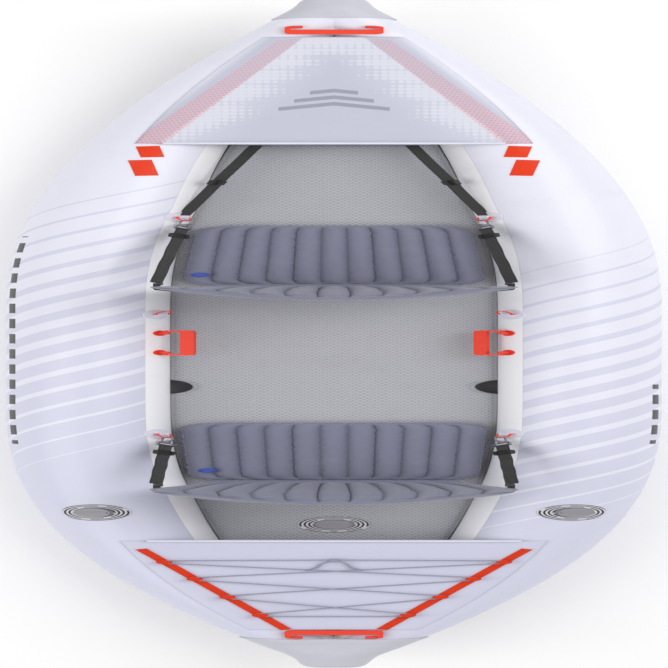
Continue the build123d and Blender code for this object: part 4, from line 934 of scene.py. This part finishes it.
def make_backrest(name):
    """Backrest: upright ribs; half width, thickness and wing sweep are interpolated by height."""
    h = BACK_SHAPE[:, 0]

    def place(u, v, side, fill, groove, pucker):
        part = (v + 1) / 2
        height = 0.002 + (0.3465 - 0.002) * part
        half = np.interp(height, h, BACK_SHAPE[:, 1])
        thick = np.interp(height, h, BACK_SHAPE[:, 2]) / 2
        sweep = np.interp(height, h, BACK_SHAPE[:, 3])
        end = np.minimum(height - 0.002, 0.3465 - height)
        inset = 0.030 * (1 - np.sqrt(1 - (1 - np.clip(end / 0.030, 0, 1)) ** 2))
        body = thick * (1 - 0.4 * np.abs(u) ** 2) * (0.12 + 0.88 * fill)
        body = body - groove * 0.9 * (side > 0) - groove * 0.2
        forward = sweep * u ** 2 + side * np.maximum(body, 0.0015) * (fill > 0)
        return back_point(name, height, u * (half - inset), forward + pucker * 0.4 * side)

    depth = trim().rib_depth * 0.85
    pad = pillow(f"{name}_back_pad", place, 110, 330, trim().ribs, depth, shared(seat_material), 22)
    settle(pad, "seat_fabric", f"{name}_backrest", body=f"{name}_backrest")
    y, z = HINGES[name]
    x = np.linspace(-0.165, 0.165, 160)
    line = np.stack([x, np.full(160, y), np.full(160, z)], -1)
    size = 0.0168 * np.sqrt(np.clip(1 - np.abs(x / 0.1655) ** 24, 0.02, 1)) * (
        1 - 0.06 * (1 - rib_wave(x / 0.165, trim().ribs - 2)))
    roll = sweep_tube(f"{name}_hinge_roll", line, size, shared(seat_material), 32)
    settle(roll, "seat_fabric", body=f"{name}_backrest")


FOOTREST = {"centre": (0.0, -1.08575, 0.13895), "radius": 0.035, "half": 0.118}


def make_footrest():
    """Footrest: roll with upright ribs and soft round ends."""
    x = np.linspace(-1, 1, 260)
    line = np.stack([x * FOOTREST["half"], np.full(260, FOOTREST["centre"][1]),
                     np.full(260, FOOTREST["centre"][2])], -1)
    size = FOOTREST["radius"] * np.clip(1 - np.abs(x) ** 10, 0.0, 1) ** 0.5
    size = np.maximum(size * (1 - 0.10 * (1 - rib_wave(x, 7))), 0.002)
    pad = sweep_tube("footrest_pad", line, size, shared(seat_material), 56)
    settle(pad, "seat_fabric", "footrest_bar", body="footrest_bar")


_shared = {}


def shared(maker):
    """One material per maker, so pieces of a kind look alike."""
    if maker not in _shared:
        _shared[maker] = maker()
    return _shared[maker]


# --- straps -----------------------------------------------------------------------
# origin at the ring's crown, pull direction, across direction, anchor on the wing
STRAPS = {"front": {"origin": (0.18782, -0.63201, 0.16951), "pull": (0.0868, 0.9068, 0.4125),
                    "across": (0.54, -0.39, 0.75), "length": 0.39229},
          "rear": {"origin": (0.21113, 0.57929, 0.17096), "pull": (0.0366, 0.8353, 0.5485),
                   "across": (0.59, -0.46, 0.67), "length": 0.29261}}
STRAP_BAR, STRAP_HALF, STRAP_THICK = 0.0504, 0.0125, 0.0020


def ribbon(name, line, across, half, thick, material):
    """Flat strap: rounded-rectangle section carried along a line, across gives its width."""
    line = np.asarray(line, float)
    across = across / np.linalg.norm(across, axis=-1)[..., None]
    tangent = np.gradient(line, axis=0)
    tangent /= np.linalg.norm(tangent, axis=1)[:, None]
    across = across - tangent * (across * tangent).sum(-1)[:, None]
    across /= np.linalg.norm(across, axis=1)[:, None]
    normal = np.cross(tangent, across)
    s = np.linspace(-1, 1, 13)
    rim = np.concatenate([np.stack([s * half, np.full(13, thick / 2)], -1),
                          np.stack([s[::-1] * half, np.full(13, -thick / 2)], -1)])
    rings = line[:, None] + rim[None, :, :1] * across[:, None] + rim[None, :, 1:] * normal[:, None]
    run = np.concatenate([[0], np.cumsum(np.linalg.norm(np.diff(line, axis=0), axis=1))])
    uv = np.stack(np.meshgrid(rim[:, 0], run), -1)
    return shell(name, rings, uv, material)


def make_seat_straps(name):
    """Seat straps: webbing from the hook's eye to the wing tab, with a loop round the eye."""
    s = STRAPS[name]
    origin, pull, wide = (np.array(s[k]) for k in ("origin", "pull", "across"))
    reach = np.linspace(STRAP_BAR + 0.004, s["length"] - 0.004, 120)
    part = (reach - reach[0]) / (reach[-1] - reach[0])
    normal = np.cross(pull, wide / np.linalg.norm(wide))
    ripple = 0.0006 * np.sin(part * 21) * np.sin(part * math.pi)
    line = origin + reach[:, None] * pull + ripple[:, None] * normal
    across = np.broadcast_to(wide, line.shape)
    port = ribbon(f"port_{name}_strap", line, across, STRAP_HALF, STRAP_THICK, shared(webbing_material))
    angle = np.linspace(0, 2 * math.pi, 60, endpoint=False)
    loop_centre = origin + pull * STRAP_BAR
    loop = loop_centre + np.cos(angle)[:, None] * pull * 0.0036 + np.sin(angle)[:, None] * normal * 0.0036
    eye = ribbon(f"port_{name}_strap_loop", np.concatenate([loop, loop[:1]]), np.broadcast_to(wide, (61, 3)),
                 STRAP_HALF, STRAP_THICK * 0.8, shared(webbing_material))
    starboard = mirrored_copy(port, f"starboard_{name}_strap")
    eye_two = mirrored_copy(eye, f"starboard_{name}_strap_loop")
    for piece, sign in ((port, 1), (starboard, -1)):
        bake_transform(piece)
    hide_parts(f"{name}_seat_straps")
    settle(eye, "webbing_black")
    settle(eye_two, "webbing_black")


FOOT_STRAP = {"start": (0.19195, -0.66177, 0.16693), "pull": (-0.2293, -0.9730, -0.0197),
              "across": (0.83, -0.18, -0.52), "length": 0.40658}


def make_foot_straps():
    """Footrest straps: webbing from the ring keepers forward to the roll."""
    s = FOOT_STRAP
    start, pull, wide = (np.array(s[k]) for k in ("start", "pull", "across"))
    reach = np.linspace(0.002, s["length"] - 0.002, 140)
    normal = np.cross(pull, wide / np.linalg.norm(wide))
    part = reach / s["length"]
    droop = -0.0007 * np.sin(part * math.pi * 3) * np.sin(part * math.pi)
    line = start + reach[:, None] * pull + droop[:, None] * normal
    port = ribbon("port_foot_strap", line, np.broadcast_to(wide, line.shape), 0.010, 0.002,
                  shared(webbing_material))
    starboard = mirrored_copy(port, "starboard_foot_strap")
    for piece, sign in ((port, 1), (starboard, -1)):
        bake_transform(piece)
    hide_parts("footrest_straps")


# --- finishes on CAD nodes --------------------------------------------------------
def valve_print_material():
    """Surround of a valve: black labyrinth rings worked out from the distance to its axis."""
    made, graph = material("valve_surround_print")
    place = graph.place()
    x, y, z = graph.split(place)
    ax = graph.math("ABSOLUTE", x)
    side = graph.math("GREATER_THAN", ax, 0.12)
    dx = graph.math("SUBTRACT", ax, graph.math("MULTIPLY", side, VALVE_CENTRE[0]))
    cy = graph.math("ADD", graph.math("MULTIPLY", side, VALVE_CENTRE[1] - FLOOR_VALVE[1]), FLOOR_VALVE[1])
    dy = graph.math("SUBTRACT", y, cy)
    squares = graph.math("ADD", graph.math("MULTIPLY", dx, dx), graph.math("MULTIPLY", dy, dy))
    wide = graph.math("SQRT", squares)
    ring = graph.math("DIVIDE", wide, RING_PITCH)
    lane, number = graph.math("FRACT", ring), graph.math("FLOOR", ring)
    angle = graph.math("DIVIDE", graph.math("ARCTAN2", dy, dx), 2 * math.pi)
    turn = graph.math("FRACT", graph.math("ADD", angle, graph.math("MULTIPLY", number, 0.137)))
    second = graph.math("MULTIPLY", graph.step(turn, 0.5, 0.502), graph.step(turn, 0.55, 0.552, 1, 0))
    bridge = graph.math("ADD", graph.step(turn, 0.05, 0.052, 1, 0), second)
    line = graph.math("MULTIPLY", graph.step(lane, 0.22, 0.30), graph.step(lane, 0.70, 0.78, 1, 0))
    line = graph.math("MULTIPLY", line, graph.math("SUBTRACT", 1.0, bridge, clamp=True))
    colour = graph.mix(line, (0.62, 0.62, 0.66), (0.015, 0.015, 0.015))
    grain = graph.group("kayak_grain", Vector=place, Size=0.0010)
    graph.finish(colour, 0.45, graph.bump(grain["Height"], 0.0002))
    return made


def strand_material():
    """Elastic lacing: fine crossed strands from the place in space, with painted shade between the strands.
    """
    made, graph = material("lacing_strands")
    place = graph.place()
    turned = graph.scaled(place, (1, 1, 1), rotation=(0.4, 0.3, 0.785))
    weave = graph.group("kayak_weave", Vector=turned, Thread=0.0013)
    # Painted shade in the dips between the strands.
    colour = graph.mix(weave["Height"], [c * 0.5 for c in trim().cord], trim().cord)
    graph.finish(colour, 0.7, graph.bump(weave["Height"], 0.0004), sheen=0.2)
    return made


def paint(maker, *nodes):
    """Give CAD nodes one procedural material in their own slots."""
    made = maker()
    for node in nodes:
        data = bpy.data.objects[node].data
        for index in range(max(len(data.materials), 1)):
            if index < len(data.materials):
                data.materials[index] = made
            else:
                data.materials.append(made)


def sides(*names):
    return [f"{side}_{name}" for side in ("port", "starboard") for name in names]


def finish_cad_nodes():
    """Procedural finishes for the pieces that keep their CAD shape."""
    paint(lambda: coated_material("bottom_pvc", (0.30, 0.30, 0.32), 0.5, 0.25), "bottom_skin")
    paint(lambda: coated_material("cap_pvc", tuple(hull().cap), 0.4, 0.2), "bow_nose_cap", "stern_nose_cap")
    paint(rail_material, "port_lacing_rail", "starboard_lacing_rail")
    paint(strand_material, "bungee_cord", "bungee_knot")
    paint(lambda: coated_material("orange_patch", tuple(trim().orange), 0.45, 0.15),
          "corner_patches", "side_labels")
    paint(lambda: moulded_material("handle_rubber", tuple(trim().red), 0.42, 0.0, 0.2),
          "bow_handle", "stern_handle", "port_handle", "starboard_handle", "handle_anchors")
    paint(lambda: coated_material("ring_patch", tuple(hull().white), 0.45, 0.12), "d_ring_patches")
    paint(lambda: moulded_material("ring_coating", tuple(trim().red), 0.3, 0.0, 0.35),
          *sides("front_ring", "middle_ring", "rear_ring"))
    paint(lambda: moulded_material("steel_wire", (0.32, 0.32, 0.34), 0.3, 0.9, 0.4),
          "snap_hooks", *sides("front_gate", "rear_gate"))
    paint(lambda: moulded_material("black_moulding", tuple(trim().webbing), 0.42, 0.0, 0.2),
          "fin_box", "tracking_fin", "deck_battens", *sides("front_buckle", "rear_buckle", "footrest_buckle"))
    paint(valve_print_material, "valve_surrounds")
    paint(lambda: moulded_material("valve_grey", (0.30, 0.30, 0.33), 0.4, 0.0, 0.15), "valve_bodies",
          *[f"{p}_valve_{w}" for p in ("port", "starboard", "floor") for w in ("cap", "plunger")])
    paint(lambda: moulded_material("valve_blue", tuple(trim().blue), 0.35, 0.0, 0.15), "seat_valves")
    paint(lambda: band_material("back_band_webbing"), "front_back_band", "rear_back_band")


def band_material(name):
    """Webbing on a CAD node: weave from the place in space, with a painted highlight on the thread crowns and
    painted shade between them.
    """
    made, graph = material(name)
    place = graph.place()
    turned = graph.scaled(place, (1, 0, 1), rotation=(1.57, 0, 0))
    weave = graph.group("kayak_weave", Vector=turned, Thread=0.0016)
    # Painted highlight on the thread crowns and painted shade in the dips between them.
    colour = graph.mix(weave["Height"], [c * 0.5 for c in trim().webbing], [min(c * 2.4 + 0.01, 1) for c in
                                                                          trim().webbing])
    graph.finish(colour, 0.78, graph.bump(weave["Height"], 0.0004), sheen=0.2)
    return made


# --- stage ------------------------------------------------------------------------
SCREEN_DISTANCE = 0.05
VIEW_MARGIN = 1.0325     # picture half height over half the boat
SKY_STRENGTH = 0.72


def make_stage():
    """Camera above the boat, its widening screen, a pale floor and soft studio lamps."""
    s = bpy.context.scene.kayak_stage
    scene = bpy.context.scene
    half_view = LENGTH / 2 * VIEW_MARGIN
    camera = bpy.data.objects.new("main_camera", bpy.data.cameras.new("main_camera"))
    scene.collection.objects.link(camera)
    camera.location, camera.rotation_euler = (0, 0, s.height), (0, 0, math.pi)
    camera.data.sensor_width = 36
    camera.data.lens = 18 / (half_view / s.height)
    camera.data.clip_start, camera.data.clip_end = 0.01, 60
    scene.camera = camera
    make_screen(s, half_view)
    ground, graph = material("studio_floor")
    shade = graph.noise(graph.place(), 2.0, 2.0)
    graph.finish(graph.mix(graph.math("MULTIPLY", shade, 0.04), s.floor, (0.9, 0.9, 0.9)), 0.9, specular=0.1)
    w = 14.0
    floor = new_piece("studio_floor", np.array([(-w, -w, -0.0005), (w, -w, -0.0005), (w, w, -0.0005),
                                                (-w, w, -0.0005)]), [[0, 1, 2, 3]], material=ground)
    for name, place, size, power in LAMPS:
        light = bpy.data.lights.new(name, "AREA")
        light.shape, light.size, light.size_y = "RECTANGLE", size[0], size[1]
        light.energy = power
        lamp = bpy.data.objects.new(name, light)
        scene.collection.objects.link(lamp)
        lamp.location = place
        lamp.rotation_euler = (Vector((0, 0, 0.1)) - Vector(place)).to_track_quat("-Z", "Y").to_euler()
    world = bpy.data.worlds.new("studio")
    scene.world = world
    world.use_nodes = True
    world.node_tree.nodes["Background"].inputs[0].default_value = (1.0, 1.0, 1.0, 1)
    world.node_tree.nodes["Background"].inputs[1].default_value = SKY_STRENGTH
    scene.view_settings.view_transform = "Standard"


LAMPS = (("key_lamp", (-2.6, -1.6, 4.2), (2.5, 4.5), 90), ("fill_lamp", (3.4, 1.6, 3.8), (3.0, 4.5), 60))


def make_screen(s, half_view):
    """See-through screen in front of the camera that widens the picture.

    A ray that reaches the screen at (x, y) goes on from (x / widening, y), so the
    long narrow hull is drawn that many times wider and fills a square picture.
    Only camera rays that start right behind it see it; other views pass through.
    """
    half = half_view / s.height * SCREEN_DISTANCE * 1.02
    z = s.height - SCREEN_DISTANCE
    made = bpy.data.materials.new("widening_screen")
    made.use_nodes = True
    made.node_tree.nodes.clear()
    graph = Graph(made.node_tree)
    place = graph.place()
    narrow = graph.add("ShaderNodeVectorMath", operation="MULTIPLY")
    graph.feed(narrow.inputs[0], place)
    narrow.inputs[1].default_value = (1 / s.widening, 1, 0)
    aim = graph.add("ShaderNodeVectorMath", operation="ADD")
    graph.feed(aim.inputs[0], narrow.outputs[0])
    aim.inputs[1].default_value = (0, 0, -SCREEN_DISTANCE)
    unit = graph.add("ShaderNodeVectorMath", operation="NORMALIZE")
    graph.feed(unit.inputs[0], aim.outputs[0])
    start = graph.add("ShaderNodeVectorMath", operation="ADD")
    graph.feed(start.inputs[0], narrow.outputs[0])
    start.inputs[1].default_value = (0, 0, z - 0.001)
    portal = graph.add("ShaderNodeBsdfRayPortal")
    graph.feed(portal.inputs["Position"], start.outputs[0])
    graph.feed(portal.inputs["Direction"], unit.outputs[0])
    clear = graph.add("ShaderNodeBsdfTransparent")
    path = graph.add("ShaderNodeLightPath")
    near = graph.math("LESS_THAN", path.outputs["Ray Length"], SCREEN_DISTANCE * 2.5)
    choice = graph.add("ShaderNodeMixShader")
    graph.feed(choice.inputs[0], near)
    made.node_tree.links.new(clear.outputs[0], choice.inputs[1])
    made.node_tree.links.new(portal.outputs[0], choice.inputs[2])
    out = graph.add("ShaderNodeOutputMaterial")
    made.node_tree.links.new(choice.outputs[0], out.inputs[0])
    screen = new_piece("widening_screen", np.array([(-half, -half, z), (half, -half, z), (half, half, z),
                                                    (-half, half, z)]), [[0, 1, 2, 3]], material=made)
    screen.visible_diffuse = screen.visible_glossy = screen.visible_transmission = False
    screen.visible_volume_scatter = screen.visible_shadow = False


# --- operators and panel ----------------------------------------------------------
class KayakPrepare(bpy.types.Operator):
    """Make the shared shader groups"""
    bl_idname = "kayak.prepare"
    bl_label = "Shader groups"

    def execute(self, context):
        _shared.clear()
        for make in (make_weave_group, make_grain_group, make_wear_group, make_hex_group):
            make()
        return {"FINISHED"}


class KayakTubes(bpy.types.Operator):
    """Build the printed side tubes"""
    bl_idname = "kayak.tubes"
    bl_label = "Side tubes"

    def execute(self, context):
        make_tubes()
        return {"FINISHED"}


class KayakFloor(bpy.types.Operator):
    """Build the embossed floor pad"""
    bl_idname = "kayak.floor"
    bl_label = "Floor pad"

    def execute(self, context):
        make_floor()
        return {"FINISHED"}


class KayakDecks(bpy.types.Operator):
    """Build both deck sheets and their hems"""
    bl_idname = "kayak.decks"
    bl_label = "Decks"

    def execute(self, context):
        for direction in (-1, 1):
            make_deck(direction)
        return {"FINISHED"}


class KayakSeats(bpy.types.Operator):
    """Build the ribbed cushions, backrests and footrest"""
    bl_idname = "kayak.seats"
    bl_label = "Seats and footrest"

    def execute(self, context):
        for name in SEATS:
            make_cushion(name)
            make_backrest(name)
        make_footrest()
        return {"FINISHED"}


class KayakStraps(bpy.types.Operator):
    """Build the webbing straps"""
    bl_idname = "kayak.straps"
    bl_label = "Straps"

    def execute(self, context):
        for name in SEATS:
            make_seat_straps(name)
        make_foot_straps()
        return {"FINISHED"}


class KayakFittings(bpy.types.Operator):
    """Give rails, handles, rings, valves and the fin their finishes"""
    bl_idname = "kayak.fittings"
    bl_label = "Fittings"

    def execute(self, context):
        finish_cad_nodes()
        return {"FINISHED"}


class KayakStageSetup(bpy.types.Operator):
    """Set the camera, lamps and floor"""
    bl_idname = "kayak.stage"
    bl_label = "Stage"

    def execute(self, context):
        make_stage()
        return {"FINISHED"}


OPERATORS = (KayakPrepare, KayakTubes, KayakFloor, KayakDecks, KayakSeats, KayakStraps, KayakFittings,
             KayakStageSetup)


class KayakPanel(bpy.types.Panel):
    """Sizes, colours and build steps of the kayak"""
    bl_idname = "VIEW3D_PT_kayak"
    bl_label = "Inflatable kayak"
    bl_space_type = "VIEW_3D"
    bl_region_type = "UI"
    bl_category = "Kayak"

    def draw(self, context):
        for group in ("kayak_hull", "kayak_trim", "kayak_stage"):
            box = self.layout.box()
            settings = getattr(context.scene, group)
            for key in settings.__annotations__:
                box.prop(settings, key)
        for operator in OPERATORS:
            self.layout.operator(operator.bl_idname)


CLASSES = (KayakHull, KayakTrim, KayakStage, *OPERATORS, KayakPanel)


def register():
    for item in CLASSES:
        bpy.utils.register_class(item)
    bpy.types.Scene.kayak_hull = bpy.props.PointerProperty(type=KayakHull)
    bpy.types.Scene.kayak_trim = bpy.props.PointerProperty(type=KayakTrim)
    bpy.types.Scene.kayak_stage = bpy.props.PointerProperty(type=KayakStage)


def unregister():
    del bpy.types.Scene.kayak_stage, bpy.types.Scene.kayak_trim, bpy.types.Scene.kayak_hull
    for item in reversed(CLASSES):
        bpy.utils.unregister_class(item)


def main():
    """Register the add-on and build every piece."""
    register()
    bpy.ops.kayak.prepare()
    bpy.ops.kayak.tubes()
    bpy.ops.kayak.floor()
    bpy.ops.kayak.decks()
    bpy.ops.kayak.seats()
    bpy.ops.kayak.straps()
    bpy.ops.kayak.fittings()
    bpy.ops.kayak.stage()


if __name__ == "__main__":
    main()
